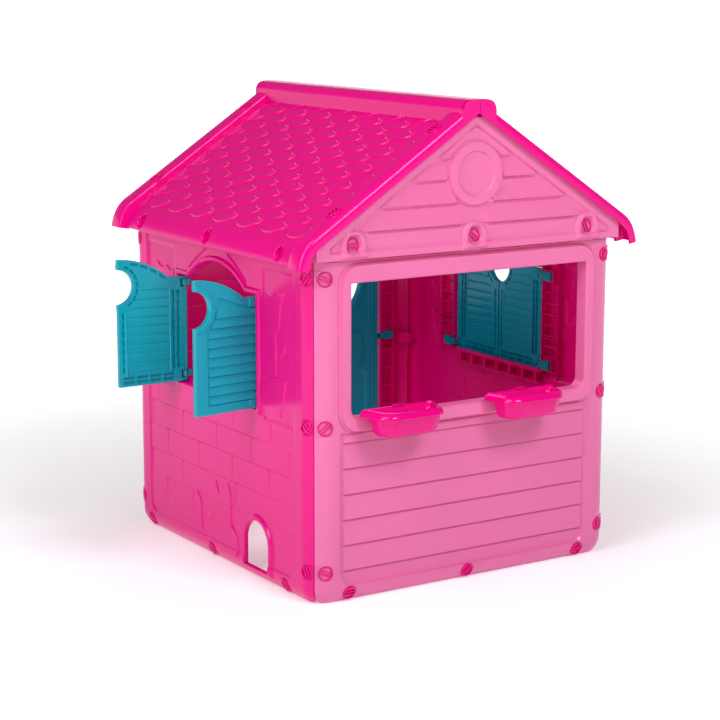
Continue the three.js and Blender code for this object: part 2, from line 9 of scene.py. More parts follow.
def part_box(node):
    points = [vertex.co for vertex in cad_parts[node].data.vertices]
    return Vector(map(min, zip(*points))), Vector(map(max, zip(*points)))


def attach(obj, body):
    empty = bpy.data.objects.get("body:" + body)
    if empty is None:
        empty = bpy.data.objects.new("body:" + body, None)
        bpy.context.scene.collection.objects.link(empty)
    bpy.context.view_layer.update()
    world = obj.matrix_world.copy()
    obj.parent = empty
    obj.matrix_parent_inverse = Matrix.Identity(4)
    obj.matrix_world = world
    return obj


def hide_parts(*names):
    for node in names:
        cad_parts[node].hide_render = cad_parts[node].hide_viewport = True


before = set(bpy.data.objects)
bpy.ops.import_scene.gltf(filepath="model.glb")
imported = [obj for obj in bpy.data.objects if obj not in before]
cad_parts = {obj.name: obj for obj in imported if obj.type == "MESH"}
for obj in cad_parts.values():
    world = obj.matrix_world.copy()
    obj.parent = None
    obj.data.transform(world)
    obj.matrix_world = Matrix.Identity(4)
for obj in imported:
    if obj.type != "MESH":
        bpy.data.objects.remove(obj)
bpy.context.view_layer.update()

# Looks of the toddler's playhouse: every panel is a moulded sheet with its relief, laid over the CAD
# frame. Shapes are worked out in millimetres, in each panel's own frame, and placed in metres.
MM = 0.001


def low(node):
    return np.array(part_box(node)[0]) / MM


def high(node):
    return np.array(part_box(node)[1]) / MM


# ---------- Driving dimensions, read from the frame ----------
MID_X = (low("front_wall")[0] + high("front_wall")[0]) / 2
MID_Y = (low("left_wall")[1] + high("left_wall")[1]) / 2
COUNTER_PROUD = 12
RIM_PROUD = 4
HALF_Y = MID_Y - low("front_wall")[1] - COUNTER_PROUD
HALF_X = MID_X - low("left_wall")[0] - RIM_PROUD
BEND = 60  # radius of the house's upright corners
FLAT_X = HALF_X - BEND
FLAT_Y = HALF_Y - BEND
WALL_TOP = 874
SIDE_TOP = 908
DEPTH = 28
SKIN = 3


# ---------- Flat outlines: arrays of (u, z) points ----------
def arc(centre, radius, start, end, steps):
    angles = np.radians(np.linspace(start, end, steps + 1))
    return np.column_stack([centre[0] + radius * np.cos(angles), centre[1] + radius * np.sin(angles)])


def circle(centre, radius, steps=32):
    return arc(centre, radius, 0, 360, steps)[:-1]


def rounded_rect(x0, x1, z0, z1, lower, upper=None, steps=6):
    upper = lower if upper is None else upper
    corners = [
        arc((x1 - lower, z0 + lower), lower, -90, 0, steps),
        arc((x1 - upper, z1 - upper), upper, 0, 90, steps),
        arc((x0 + upper, z1 - upper), upper, 90, 180, steps),
        arc((x0 + lower, z0 + lower), lower, 180, 270, steps),
    ]
    return np.vstack(corners)


def curve(points, steps=5, closed=False):
    """A smooth line through a few points."""
    p = np.array(points, float)
    if closed:
        p = np.vstack([p[-1], p, p[0], p[1]])
    else:
        p = np.vstack([2 * p[0] - p[1], p, 2 * p[-1] - p[-2]])
    t = np.linspace(0, 1, steps, endpoint=False)[:, None]
    runs = []
    for a, b, c, d in zip(p, p[1:], p[2:], p[3:]):
        square, cube = 2 * a - 5 * b + 4 * c - d, 3 * b - a - 3 * c + d
        runs.append(0.5 * (2 * b + (c - a) * t + square * t**2 + cube * t**3))
    line = np.vstack(runs)
    return line if closed else np.vstack([line, p[-2]])


def counterclockwise(loop):
    x, z = loop.T
    area = np.dot(x, np.roll(z, -1)) - np.dot(z, np.roll(x, -1))
    return loop if area > 0 else loop[::-1]


def edge_normals(line, closed=True):
    """The mitred normal at each point, to the right of the way the line runs."""
    ahead = np.roll(line, -1, 0) - line if closed else np.diff(line, axis=0)
    length = np.maximum(np.hypot(ahead[:, 0], ahead[:, 1]), 1e-9)[:, None]
    normal = np.column_stack([ahead[:, 1], -ahead[:, 0]]) / length
    if closed:
        before = np.roll(normal, 1, 0)
    else:
        before = np.vstack([normal[:1], normal])
        normal = np.vstack([normal, normal[-1:]])
    both = before + normal
    return both / np.maximum((both**2).sum(1) / 2, 0.6)[:, None]


def grown(loop, distance):
    loop = counterclockwise(loop)
    return loop + edge_normals(loop) * distance


def stroke(path, radius, steps=4):
    """The outline of a round-ended stroke along an open path."""
    normal = edge_normals(path, closed=False) * radius
    ends = []
    for end, ahead in ((path[-1], path[-1] - path[-2]), (path[0], path[0] - path[1])):
        facing = math.degrees(math.atan2(ahead[1], ahead[0]))
        ends.append(arc(end, radius, facing - 90, facing + 90, steps)[1:-1])
    return np.vstack([path + normal, ends[0], (path - normal)[::-1], ends[1]])


# ---------- Distances ----------
def distance(points, line, closed):
    a = line if closed else line[:-1]
    ab = (np.roll(line, -1, 0) - line) if closed else np.diff(line, axis=0)
    size = np.maximum((ab**2).sum(1), 1e-12)
    best = np.full(len(points), np.inf)
    for start, along, squared in zip(a, ab, size):
        ap = points - start
        t = np.clip(ap @ along / squared, 0, 1)
        best = np.minimum(best, ((ap - t[:, None] * along) ** 2).sum(1))
    return np.sqrt(best)


def is_inside(points, loop):
    x, z = points.T
    odd = np.zeros(len(points), bool)
    for (x0, z0), (x1, z1) in zip(loop, np.roll(loop, -1, 0)):
        if z0 != z1:
            crosses = (z0 > z) != (z1 > z)
            odd ^= crosses & (x < (x1 - x0) * (z - z0) / (z1 - z0) + x0)
    return odd


def depth_inside(points, loop):
    return np.where(is_inside(points, loop), 1, -1) * distance(points, loop, True)


def eased(t):
    t = np.clip(t, 0, 1)
    return t * t * (3 - 2 * t)


# ---------- Relief: what stands proud of a sheet, or is sunk in it ----------
class Relief:
    """Sums of plateaus, ridges and lapped boards, with the lines where the sheet has to bend."""

    def __init__(self):
        self.lines = []
        self.terms = []

    def bend(self, line, closed):
        self.lines.append((np.asarray(line, float), closed))

    def plateau(self, loop, rise, run=3.0, shares=(0, 0.22, 0.5, 0.78, 1)):
        """Inside the loop the sheet is raised; it slopes down to the loop within the run."""
        loop = counterclockwise(loop)
        for share in shares:
            self.bend(grown(loop, -run * share), True)
        self.terms.append(lambda p: rise * eased(depth_inside(p, loop) / run))

    def ridge(self, path, rise, half):
        path = np.asarray(path, float)
        self.bend(path, False)
        for share in (0.5, 1):
            self.bend(stroke(path, half * share), True)
        self.terms.append(lambda p: rise * eased(1 - distance(p, path, False) / half))

    def boards(self, field, laps, proud, run, fade=8.0, around=()):
        """Lapped boards in a field: each stands proudest at its lower edge, which is one of laps.
        They fade out before the loops they run around."""
        field = counterclockwise(field)
        x0, x1 = field[:, 0].min(), field[:, 0].max()
        laps = sorted(laps)
        for z in laps:
            for height in (z - run, z - run / 2, z):
                self.bend([(x0, height), (x1, height)], False)
        for share in (0, 0.5, 1):
            self.bend(grown(field, -fade * share), True)
        tops = np.array(laps[1:] + [laps[-1] + (laps[-1] - laps[-2])])
        laps = np.array(laps)

        def rise(p):
            z = p[:, 1]
            total = np.zeros(len(p))
            for foot, top in zip(laps, tops):
                on_board = (z >= foot) & (z < top)
                on_step = (z >= foot - run) & (z < foot)
                total = np.where(on_board, proud * (1 - (z - foot) / (top - foot)), total)
                total = np.where(on_step, proud * eased((z - foot + run) / run), total)
            for loop in around:
                total = total * (1 - eased(depth_inside(p, loop) / 3 + 2))
            return total * eased(depth_inside(p, field) / fade)

        self.terms.append(rise)

    def rolled_foot(self, radius, missing, x0, x1):
        """Rolls the sheet's lower edge inwards, but for the last part of the quarter circle."""
        start = radius - missing
        for share in (0.06, 0.15, 0.28, 0.45, 0.7, 1):
            self.bend([(x0, start * share), (x1, start * share)], False)
        self.terms.append(
            lambda p: np.sqrt(radius**2 - np.clip(start - p[:, 1], 0, start) ** 2) - radius
        )

    def seat(self, u, z, flat, half=21):
        """A flat pad for a screw, tangent to the round corner that starts at flat."""
        loop = rounded_rect(u - half, u + half, z - half, z + half, 3, steps=2)
        for share in (0, 1.2):
            self.bend(grown(loop, -share), True)

        def rise(p):
            lift = (BEND + 0.5) / np.cos(np.clip((p[:, 0] - u) / BEND, -0.5, 0.5)) - BEND
            turn = np.clip((np.abs(p[:, 0]) - flat) / BEND, 0, 1.2)
            lift = np.minimum(lift, (BEND + 0.4) / np.cos(turn) - BEND)
            return lift * eased(depth_inside(p, loop) / 1.2)

        self.terms.append(rise)

    def height(self, points):
        total = np.zeros(len(points))
        for term in self.terms:
            total = total + term(points)
        return total


# ---------- Meshes: (vertices, faces) in millimetres ----------
def merge(*parts):
    vertices, faces = [], []
    for v, f in parts:
        start = sum(len(x) for x in vertices)
        vertices.append(np.asarray(v, float))
        faces.extend(tuple(i + start for i in face) for face in f)
    return np.vstack(vertices), faces


def border_loops(faces):
    """The open borders of a surface, each a list of vertices with the material on the left."""
    half_edges = set()
    for face in faces:
        half_edges.update(zip(face, face[1:] + face[:1]))
    after = {i: j for i, j in half_edges if (j, i) not in half_edges}
    loops = []
    while after:
        loop = [next(iter(sorted(after)))]
        while loop[-1] in after:
            loop.append(after.pop(loop[-1]))
        loops.append(loop[:-1])
    return loops


def triangulate(outline, holes, lines):
    """Triangles between an outline and its holes that follow every line."""
    points, edges = [], []
    for line, closed in [(outline, True)] + [(hole, True) for hole in holes] + lines:
        start = len(points)
        points.extend(Vector(p) for p in line)
        ends = list(range(start, start + len(line)))
        edges.extend(zip(ends, ends[1:] + ends[:1]) if closed else zip(ends, ends[1:]))
    found, _, faces, _, _, _ = geometry.delaunay_2d_cdt(points, edges, [], 0, 1e-3, False)
    flat = np.array([tuple(p) for p in found])
    middle = flat[np.array(faces)].mean(1)
    keep = is_inside(middle, outline)
    for hole in holes:
        keep &= ~is_inside(middle, hole)
    faces = [tuple(face) for face, kept in zip(faces, keep) if kept]
    used = sorted({i for face in faces for i in face})
    index = {old: new for new, old in enumerate(used)}
    return flat[used], [tuple(index[i] for i in face) for face in faces]


def skirt(flat, heights, loop, radius, depth, place, steps=4):
    """Turns a border over a rounded edge, then straight in to a depth. Returns rings to add."""
    line = flat[loop]
    normal = edge_normals(line)
    rings = []
    for angle in np.radians(np.linspace(0, 90, steps + 1)[1:]):
        drop = radius * (1 - math.cos(angle))
        rings.append(place(line + normal * radius * math.sin(angle), heights[loop] - drop))
    if depth is not None:
        rings.append(place(line + normal * radius, np.full(len(loop), -depth)))
    return rings


def plane(y=0.0, way=-1):
    """Places a sheet in an upright plane that faces -Y, or +Y where way is 1."""

    def place(flat, height):
        return np.column_stack([-way * flat[:, 0], y + way * height, flat[:, 1]])

    return place


def round_corners(flat_half):
    """Places a wall: beyond its flat middle it turns round the house's corners."""

    def place(flat, height):
        turn = np.maximum(np.abs(flat[:, 0]) - flat_half, 0) / BEND
        reach = np.minimum(np.abs(flat[:, 0]), flat_half) + (BEND + height) * np.sin(turn)
        return np.column_stack(
            [np.sign(flat[:, 0]) * reach, BEND - (BEND + height) * np.cos(turn), flat[:, 1]]
        )

    return place


def sheet(
    outline, holes, relief, radius, jamb_radius, depth, place,
    thick=SKIN, steps=4, pocket=None, jambs=(),
):
    """A moulded sheet: a relief between an outline and its holes, with every border turned in.
    Holes may have a jamb depth of their own, from the largest hole to the smallest. A pocket
    carries a hole's border on to a floor, instead of the turned-in jamb."""
    outline = grown(outline, -radius)
    holes = [grown(hole, jamb_radius) for hole in holes]
    flat, faces = triangulate(outline, holes, relief.lines)
    heights = relief.height(flat)
    vertices = [place(flat, heights)]
    count = len(flat)
    added = []
    loops = sorted(border_loops(faces), key=lambda loop: -np.ptp(flat[loop], axis=0).prod())
    for number, loop in enumerate(loops):
        is_hole = number > 0
        deep = jambs[number - 1] if is_hole and jambs else depth
        deep = None if is_hole and pocket else deep
        turns = skirt(flat, heights, loop, jamb_radius if is_hole else radius, deep, place, steps)
        if is_hole and pocket:
            turns += pocket(turns[-1])
        inner = loop
        for ring in turns:
            outer = list(range(count, count + len(loop)))
            count += len(loop)
            vertices.append(ring)
            for a, b, c, d in zip(inner, inner[1:] + inner[:1], outer[1:] + outer[:1], outer):
                added.append((b, a, d, c))
            inner = outer
        if is_hole and pocket:
            vertices.append(turns[-1].mean(0)[None, :])
            added.extend((b, a, count) for a, b in zip(inner, inner[1:] + inner[:1]))
            count += 1
    return thicken(np.vstack(vertices), faces + added, thick)


def vertex_normals(vertices, faces):
    normals = np.zeros_like(vertices)
    for size in (3, 4):
        chosen = np.array([face for face in faces if len(face) == size])
        if len(chosen):
            corners = vertices[chosen]
            first = corners[:, 2] - corners[:, 0] if size == 4 else corners[:, 1] - corners[:, 0]
            second = corners[:, 3] - corners[:, 1] if size == 4 else corners[:, 2] - corners[:, 0]
            cross = np.cross(first, second)
            cross /= np.maximum(np.linalg.norm(cross, axis=1), 1e-9)[:, None]
            for column in range(size):
                np.add.at(normals, chosen[:, column], cross)
    return normals / np.maximum(np.linalg.norm(normals, axis=1), 1e-9)[:, None]


def thicken(vertices, faces, thick):
    """Closes a surface into a shell, on the side away from its normals."""
    inner = vertices - vertex_normals(vertices, faces) * thick
    count = len(vertices)
    shell = list(faces) + [tuple(i + count for i in face[::-1]) for face in faces]
    for loop in border_loops(faces):
        for a, b in zip(loop, loop[1:] + loop[:1]):
            shell.append((b, a, a + count, b + count))
    return np.vstack([vertices, inner]), shell


def slab(x0, x1, y0, y1, z0, z1, bevel=1.0):
    """A block with rounded edges."""
    bm = bmesh.new()
    size = Matrix.Diagonal((x1 - x0, y1 - y0, z1 - z0, 1))
    middle = Matrix.Translation(((x0 + x1) / 2, (y0 + y1) / 2, (z0 + z1) / 2))
    bmesh.ops.create_cube(bm, size=1, matrix=middle @ size)
    bmesh.ops.bevel(bm, geom=bm.edges[:], offset=bevel, segments=2, profile=0.5, affect="EDGES")
    bm.verts.index_update()
    part = np.array([v.co for v in bm.verts]), [tuple(v.index for v in f.verts) for f in bm.faces]
    bm.free()
    return part


def rings(loops, closed=False):
    """A skin over loops of 3-D points that all have the same count."""
    count = len(loops[0])
    vertices = np.vstack(loops)
    faces = []
    for k in range(len(loops) if closed else len(loops) - 1):
        a, b = k * count, ((k + 1) % len(loops)) * count
        faces.extend((a + i, a + (i + 1) % count, b + (i + 1) % count, b + i) for i in range(count))
    if not closed:
        faces.append(tuple(range(count))[::-1])
        faces.append(tuple(range((len(loops) - 1) * count, len(loops) * count)))
    return vertices, faces


def extruded(loop, y0, y1, bevel=1.0):
    """A prism along Y whose outline stands in the XZ plane, with rounded rims at both ends."""
    loop = counterclockwise(np.asarray(loop, float))
    layers = []
    for y, way, angles in ((y0, 1, (90, 45, 0)), (y1, -1, (0, 45, 90))):
        for angle in np.radians(angles):
            flat = grown(loop, -bevel * (1 - math.cos(angle)))
            at = np.full(len(loop), y + way * bevel * (1 - math.sin(angle)))
            layers.append(np.column_stack([flat[:, 0], at, flat[:, 1]]))
    vertices, faces = rings(layers)
    return vertices, [face[::-1] for face in faces]


def upright(loop, z0, z1, bevel=1.0):
    """A prism along Z whose outline lies in the XY plane."""
    vertices, faces = extruded(loop, -z1, -z0, bevel)
    return np.column_stack([vertices[:, 0], vertices[:, 2], -vertices[:, 1]]), faces


def lathe(profile, steps=28, closed=False):
    """A solid turned about Z from (radius, z) points, from the bottom's middle to the top's middle
    by the outside, or a ring if closed."""
    angles = np.linspace(0, 2 * math.pi, steps, endpoint=False)
    around = np.column_stack([np.cos(angles), np.sin(angles), np.zeros(steps)])
    return rings([around * r + [0, 0, z] for r, z in profile], closed)


def bar(radius, start, end, bevel=0.8, steps=14):
    """A round bar between two points."""
    start, end = Vector(start), Vector(end)
    length = (end - start).length
    inset = radius - bevel
    rounded = [(inset, 0), (radius, bevel), (radius, length - bevel), (inset, length)]
    turn = (end - start).to_track_quat("Z", "Y").to_matrix().to_4x4()
    return turned(lathe(rounded, steps), Matrix.Translation(start) @ turn)


def sweep(path, profile):
    """Carries a closed profile of (y, height) points along a path of (x, z) points."""
    path = np.asarray(path, float)
    normal = edge_normals(path, closed=False)
    normal /= np.hypot(*normal.T)[:, None]
    loops = []
    for (x, z), (nx, nz) in zip(path, -normal):
        loops.append([(x + nx * h, y, z + nz * h) for y, h in profile])
    return rings([np.array(loop) for loop in loops])


def turned(part, matrix):
    vertices, faces = part
    matrix = np.array(matrix)
    moved = np.asarray(vertices) @ matrix[:3, :3].T + matrix[:3, 3]
    if np.linalg.det(matrix[:3, :3]) < 0:
        faces = [face[::-1] for face in faces]
    return moved, faces


# ---------- Materials: satin moulded plastic, coloured in the mass ----------
def put(node, values):
    for socket, value in values.items():
        node.inputs[socket].default_value = value


def plastic(slot, colour, rough, mottle=0.004, grain=0.004):
    """A colour with faint flow marks, a fine moulded grain and uneven gloss, and its slot's name."""
    material = bpy.data.materials.new(slot)
    material.use_nodes = True
    nodes, links = material.node_tree.nodes, material.node_tree.links
    shader = nodes["Principled BSDF"]
    place = nodes.new("ShaderNodeTexCoord")

    def noise(scale, detail):
        texture = nodes.new("ShaderNodeTexNoise")
        put(texture, {"Scale": scale, "Detail": detail})
        links.new(place.outputs["Object"], texture.inputs["Vector"])
        return texture.outputs["Fac"]

    def spread(source, least, most):
        ramp = nodes.new("ShaderNodeMapRange")
        put(ramp, {"From Min": 0.3, "From Max": 0.7, "To Min": least, "To Max": most})
        links.new(source, ramp.inputs["Value"])
        return ramp.outputs["Result"]

    tint = nodes.new("ShaderNodeHueSaturation")
    put(tint, {"Color": (*colour, 1)})
    links.new(spread(noise(6.0, 1.0), 1 - mottle, 1 + mottle), tint.inputs["Value"])
    links.new(tint.outputs["Color"], shader.inputs["Base Color"])
    links.new(spread(noise(9.0, 1.0), rough - 0.01, rough + 0.02), shader.inputs["Roughness"])
    bump = nodes.new("ShaderNodeBump")
    put(bump, {"Strength": grain, "Distance": 0.0006})
    links.new(noise(420.0, 2.0), bump.inputs["Height"])
    links.new(bump.outputs["Normal"], shader.inputs["Normal"])
    put(shader, {"IOR": 1.49, "Specular IOR Level": 0.3})
    put(shader, {"Subsurface Weight": 0.06, "Subsurface Radius": colour, "Subsurface Scale": 0.006})
    return material, slot


LIGHT_PINK = plastic("light_pink_plastic", (0.74, 0.155, 0.36), 0.22)
HOT_PINK = plastic("hot_pink_plastic", (0.77, 0.0, 0.22), 0.22)
MAGENTA = plastic("magenta_plastic", (0.76, 0.0, 0.21), 0.14)
TEAL = plastic("teal_plastic", (0.0, 0.33, 0.43), 0.25)


# ---------- Pieces ----------
def side_frame(origin, degrees):
    """From a panel's own frame, in millimetres, to the object's frame, in metres."""
    turn = Matrix.Rotation(math.radians(degrees), 4, "Z")
    return Matrix.Scale(MM, 4) @ Matrix.Translation(origin) @ turn


FRONT = side_frame((MID_X, MID_Y - HALF_Y, 0), 0)
RIGHT = side_frame((MID_X + HALF_X, MID_Y, 0), 90)
BACK = side_frame((MID_X, MID_Y + HALF_Y, 0), 180)
LEFT = side_frame((MID_X - HALF_X, MID_Y, 0), -90)
HOUSE = side_frame((MID_X, MID_Y, 0), 0)


def piece(name, part, matrix, plastic_of_piece, body, *nodes):
    """Makes one piece of the object, which rides on a body and stands for its CAD nodes."""
    material, slot = plastic_of_piece
    vertices, faces = turned(part, matrix)
    mesh = bpy.data.meshes.new(name)
    mesh.from_pydata(vertices.tolist(), [], faces)
    mesh.validate()
    bm = bmesh.new()
    bm.from_mesh(mesh)
    bmesh.ops.dissolve_degenerate(bm, dist=0.02 * MM, edges=bm.edges[:])
    bm.to_mesh(mesh)
    bm.free()
    mesh.materials.append(material)
    mesh.shade_smooth()
    mesh.set_sharp_from_angle(angle=math.radians(50))
    made = bpy.data.objects.new(name, mesh)
    bpy.context.scene.collection.objects.link(made)
    weighted = made.modifiers.new("even_shading", "WEIGHTED_NORMAL")
    weighted.keep_sharp = True
    weighted.weight = 80
    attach(made, body)
    if nodes:
        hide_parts(*nodes)
    return made


# ---------- Screws: the seat is at z = 0 and the head looks to +Z ----------
HEAD = 19
HEAD_PROFILE = [
    (7.8, -4), (HEAD - 0.5, -3.4), (HEAD, -2.8), (HEAD, 2.6), (HEAD - 0.6, 3.3), (HEAD - 1.6, 3.5),
    (HEAD - 2.6, 3.2), (HEAD - 3.0, 2.4), (HEAD - 3.2, -1.7), (2, -1.9),
]


def screw_head(turn, shank=16):
    """A disc with a raised rim and a bar across it, split by a wide coin slot."""
    bars = [slab(-16.2, 16.2, y - 1.9, y + 1.9, -2.3, 3.4, 0.6) for y in (-4.4, 4.4)]
    spin = Matrix.Rotation(math.radians(turn), 4, "Z")
    thread = lathe([(7.6, -shank), (7.6, -3.5)], 12)
    return merge(lathe(HEAD_PROFILE), thread, turned(merge(*bars), spin))


def aimed(part, place, outward):
    turn = Vector(outward).to_track_quat("Z", "Y").to_matrix().to_4x4()
    return turned(part, Matrix.Translation(place) @ turn)


# ---------- Walls ----------
CORNER_Z = (84, 457.5, 832)
END_TURN, SIDE_TURN = 49.6, 39.6  # where the walls' ends meet on the round corners
END_SEAT, SIDE_SEAT = 22, 20  # how far round the corner their screws sit
COUNTER = (-369, 369, 477, 818)
COUNTER_FRAME = (-397, 397, 440, 865)
LAPS = (84, 150, 216, 282, 349, 415)
FOOT, FOOT_CUT = 52, 8  # radius of the rolled foot, and how much of it is cut off
SCREW_PIT = HEAD + 1.4
FOOT_CORNER = 18
FOOT_SCREW_Z = 23
END_FOOT_SCREWS = (-367, 0, 367)
SIDE_FOOT_SCREWS = (-406, -44, 350)
SEAM = 2.5
SHUTTER_PIVOT, SHUTTER_CLIP_Z = 204, {"lower": 484, "upper": 738}
DOOR_PIVOT, DOOR_CLIP_Z = -343, {"lower": 130, "middle": 470, "upper": 780}


def wall_blank(flat, turn, seat_turn, top, foot_screws):
    """The relief every wall starts from, and how far its sheet reaches with its corners unrolled."""
    span = flat + BEND * math.radians(turn)
    relief = Relief()
    for sign in (-1, 1):
        for share in np.linspace(0, 1, 7)[:-1]:
            u = sign * (flat + (span - flat) * share)
            relief.bend([(u, 0), (u, top)], False)
        for z in CORNER_Z:
            seat = sign * (flat + BEND * math.radians(seat_turn))
            relief.seat(seat, z, flat)
            relief.plateau(circle((seat, z), SCREW_PIT, 24), -2.6, 1, (0, 1))
    for u in foot_screws:
        relief.plateau(circle((u, FOOT_SCREW_Z), SCREW_PIT, 24), -2.4, 1, (0, 1))
    relief.rolled_foot(FOOT, FOOT_CUT, -span, span)
    return relief, span


def foot_corners(span):
    """The lower edge of a wall, from its left seam to its right seam, with rounded corners."""
    left = arc((-span + FOOT_CORNER, FOOT_CORNER + 0.6), FOOT_CORNER, 180, 270, 8)
    return np.vstack([left, (left * [-1, 1])[::-1]])


def end_outline(span):
    return np.vstack([foot_corners(span), [(span, WALL_TOP), (-span, WALL_TOP)]])


def tongues():
    return merge(*[slab(u - 29, u + 29, 0.8, 4.2, WALL_TOP - 8, 935, 0.8) for u in (-365, 0, 365)])


def front_wall():
    relief, span = wall_blank(FLAT_X, END_TURN, END_SEAT, WALL_TOP, END_FOOT_SCREWS)
    relief.plateau(rounded_rect(-400, 400, 38, 447, 44, 6), -9, 14)
    relief.boards(rounded_rect(-386, 386, 52, 440, 30, 4), LAPS, 5.6, 3.4)
    for z in LAPS:
        relief.ridge([(-383, z - 4), (383, z - 4)], -1.4, 4)
    relief.plateau(rounded_rect(*COUNTER_FRAME, 50), COUNTER_PROUD - 0.3, 4)
    groove = grown(rounded_rect(*COUNTER_FRAME, 50), 3)
    relief.ridge(np.vstack([groove, groove[:1]]), -2.4, 3.6)
    opening = rounded_rect(*COUNTER, 25, 4)
    wall = sheet(end_outline(span), [opening], relief, SEAM, 6, DEPTH, round_corners(FLAT_X))
    return merge(wall, tongues())


def back_wall():
    relief, span = wall_blank(FLAT_X, END_TURN, END_SEAT, WALL_TOP, END_FOOT_SCREWS)
    relief.plateau(rounded_rect(84, 398, 40, 850, 40, 20), -6, 12)
    laps = [*LAPS, 481, 548, 615, 681, 748, 814]
    relief.boards(rounded_rect(94, 388, 50, 842, 30, 12), laps, 3.5, 3.5)
    doorway = rounded_rect(-354, 44, 42, 848, 10, steps=3)
    relief.plateau(grown(doorway, 17), RIM_PROUD - 0.3, 6)
    ribs = [clip_holder(DOOR_PIVOT, -1, z) for z in DOOR_CLIP_Z.values()]
    ribs.append(slab(-404, -401, 8, DEPTH - 3, 60, 840, 0.6))
    ribs.extend(slab(-402, -358, 8, DEPTH - 3, z - 1.5, z + 1.5, 0.6) for z in np.arange(76, 830, 58))
    wall = sheet(end_outline(span), [doorway], relief, SEAM, 4, DEPTH, round_corners(FLAT_X))
    return merge(wall, tongues(), *ribs)


def clip_holder(pivot, away, z):
    """Ribs round a hinge clip's tab, on the inner side of a wall."""
    near, far = sorted((pivot + away * 17, pivot + away * 57))
    end = (far - 3, far) if away > 0 else (near, near + 3)
    spans = [(near, far, z + 14, z + 17), (near, far, z - 17, z - 14), (*end, z - 16, z + 16)]
    return merge(*[slab(u0, u1, 8, DEPTH - 1, z0, z1, 0.8) for u0, u1, z0, z1 in spans])


def window_outline(grow=0.0):
    half, shoulder, radius = 215 + grow, 760 + grow, 240 + grow
    reach = math.degrees(math.asin((shoulder - 578) / radius))
    sides = [(-half, 461 - grow), (half, 461 - grow), (half, shoulder)]
    return np.vstack([sides, arc((0, 578), radius, reach, 180 - reach, 24), [(-half, shoulder)]])


def mouse_outline(grow=0.0):
    radius = 61 + grow
    low_edge = 31 - grow / 2
    foot = [(208 - radius, low_edge), (208 + radius, low_edge)]
    return np.vstack([foot, arc((208, 99), radius, 0, 180, 18)])


FLOWER = [(250, 772), (245, 753), (249, 723), (268, 690), (292, 675), (318, 679), (329, 701),
          (330, 734), (345, 767), (351, 785), (321, 769), (291, 777), (270, 765)]
LEAVES = [
    [(312, 604), (333, 611), (352, 630), (357, 654), (338, 640), (322, 618)],
    [(308, 604), (290, 592), (263, 602), (246, 629), (262, 624), (284, 616)],
]
POT = [(243, 556), (240, 540), (226, 525), (226, 500), (240, 470), (240, 453), (326, 453), (334, 470),
       (345, 505), (352, 530), (356, 552), (350, 561)]
STEM = [(303, 676), (306, 640), (305, 600), (304, 561)]
BRICKS = {380: (-353, 83, 279), 310: (-388, -205, -14, 177, 373), 237: (-299, -114, 72, 269),
          166: (-397, -212, 90), 91: (-307, -150, 60)}
CRACKS = [
    [(-129, 168), (-106, 150), (-103, 108), (-99, 66)],
    [(-17, 220), (-8, 204), (-2, 187)],
    [(50, 226), (65, 196), (68, 119), (84, 104), (99, 85), (103, 36)],
    [(-62, 115), (-39, 120)],
    [(59, 847), (110, 820), (158, 786)],
    [(-59, 847), (-110, 820), (-158, 786)],
]


def side_wall():
    relief, span = wall_blank(FLAT_Y, SIDE_TURN, SIDE_SEAT, WALL_TOP, SIDE_FOOT_SCREWS)
    relief.plateau(rounded_rect(-408, 413, 46, 960, 40, 4), -3.5, 10)
    for sign in (-1, 1):
        relief.plateau(rounded_rect(*sorted((sign * 240, sign * 402)), 436, 838, 14), -3, 12)
        for shape in (FLOWER, POT, *LEAVES):
            loop = counterclockwise(curve([(sign * u, z) for u, z in shape], 3, True))
            relief.plateau(loop, 3.4, 4.5, (0, 0.5, 1))
        relief.ridge(curve([(sign * u, z) for u, z in STEM], 3), 3, 5)
    courses = sorted(BRICKS)
    for z, above in zip(courses, courses[1:] + [436]):
        end = 262 if z == 380 else 400
        relief.ridge([(-404, z), (end if z > 130 else 130, z + 1.5)], -1.1, 3.0)
        for u in BRICKS[z]:
            top = min(above, 433) - 3
            relief.ridge([(u, z + 3), (u + 1.5, top)], -1.1, 2.8)
            relief.plateau(circle((u + 1.5, top - 2), 4.4, 8), 3.2, 3.6, (0, 0.5, 1))
    for crack in CRACKS:
        relief.ridge(curve(crack, 3), 3.4, 4.4)
    relief.plateau(window_outline(17), RIM_PROUD + 3, 7)
    relief.plateau(mouse_outline(19), RIM_PROUD + 3, 8)
    shoulders = [(span, WALL_TOP), (FLAT_Y, WALL_TOP), (FLAT_Y, SIDE_TOP), (-FLAT_Y, SIDE_TOP),
                 (-FLAT_Y, WALL_TOP), (-span, WALL_TOP)]
    outline = np.vstack([foot_corners(span), shoulders])
    holes = [window_outline(), mouse_outline()]
    wall = sheet(outline, holes, relief, SEAM, 5, DEPTH, round_corners(FLAT_Y), jambs=(DEPTH, 9))
    under_sill = slab(-206, 206, 9, DEPTH - 4, 425, 429, 0.6)
    sill_lip = slab(-207, 207, 22, DEPTH - 1, 456, 467.5, 0.8)
    ribs = [under_sill, sill_lip]
    for u in np.arange(-186, 187, 62):
        ribs.append(slab(u - 4.5, u + 4.5, 9, DEPTH - 3, 427, 458, 1))
    for sign in (-1, 1):
        near, far = sorted((sign * 222, sign * 284))
        for z in list(np.arange(505, 720, 31)) + [560]:
            ribs.append(slab(near, far, 9, DEPTH - 4, z - 1.5, z + 1.5, 0.6))
        rib = sign * 284
        ribs.append(slab(rib - 1.5, rib + 1.5, 9, DEPTH - 2, 446, 800, 0.6))
        ribs.extend(clip_holder(sign * SHUTTER_PIVOT, sign, z) for z in SHUTTER_CLIP_Z.values())
    return merge(wall, *ribs)


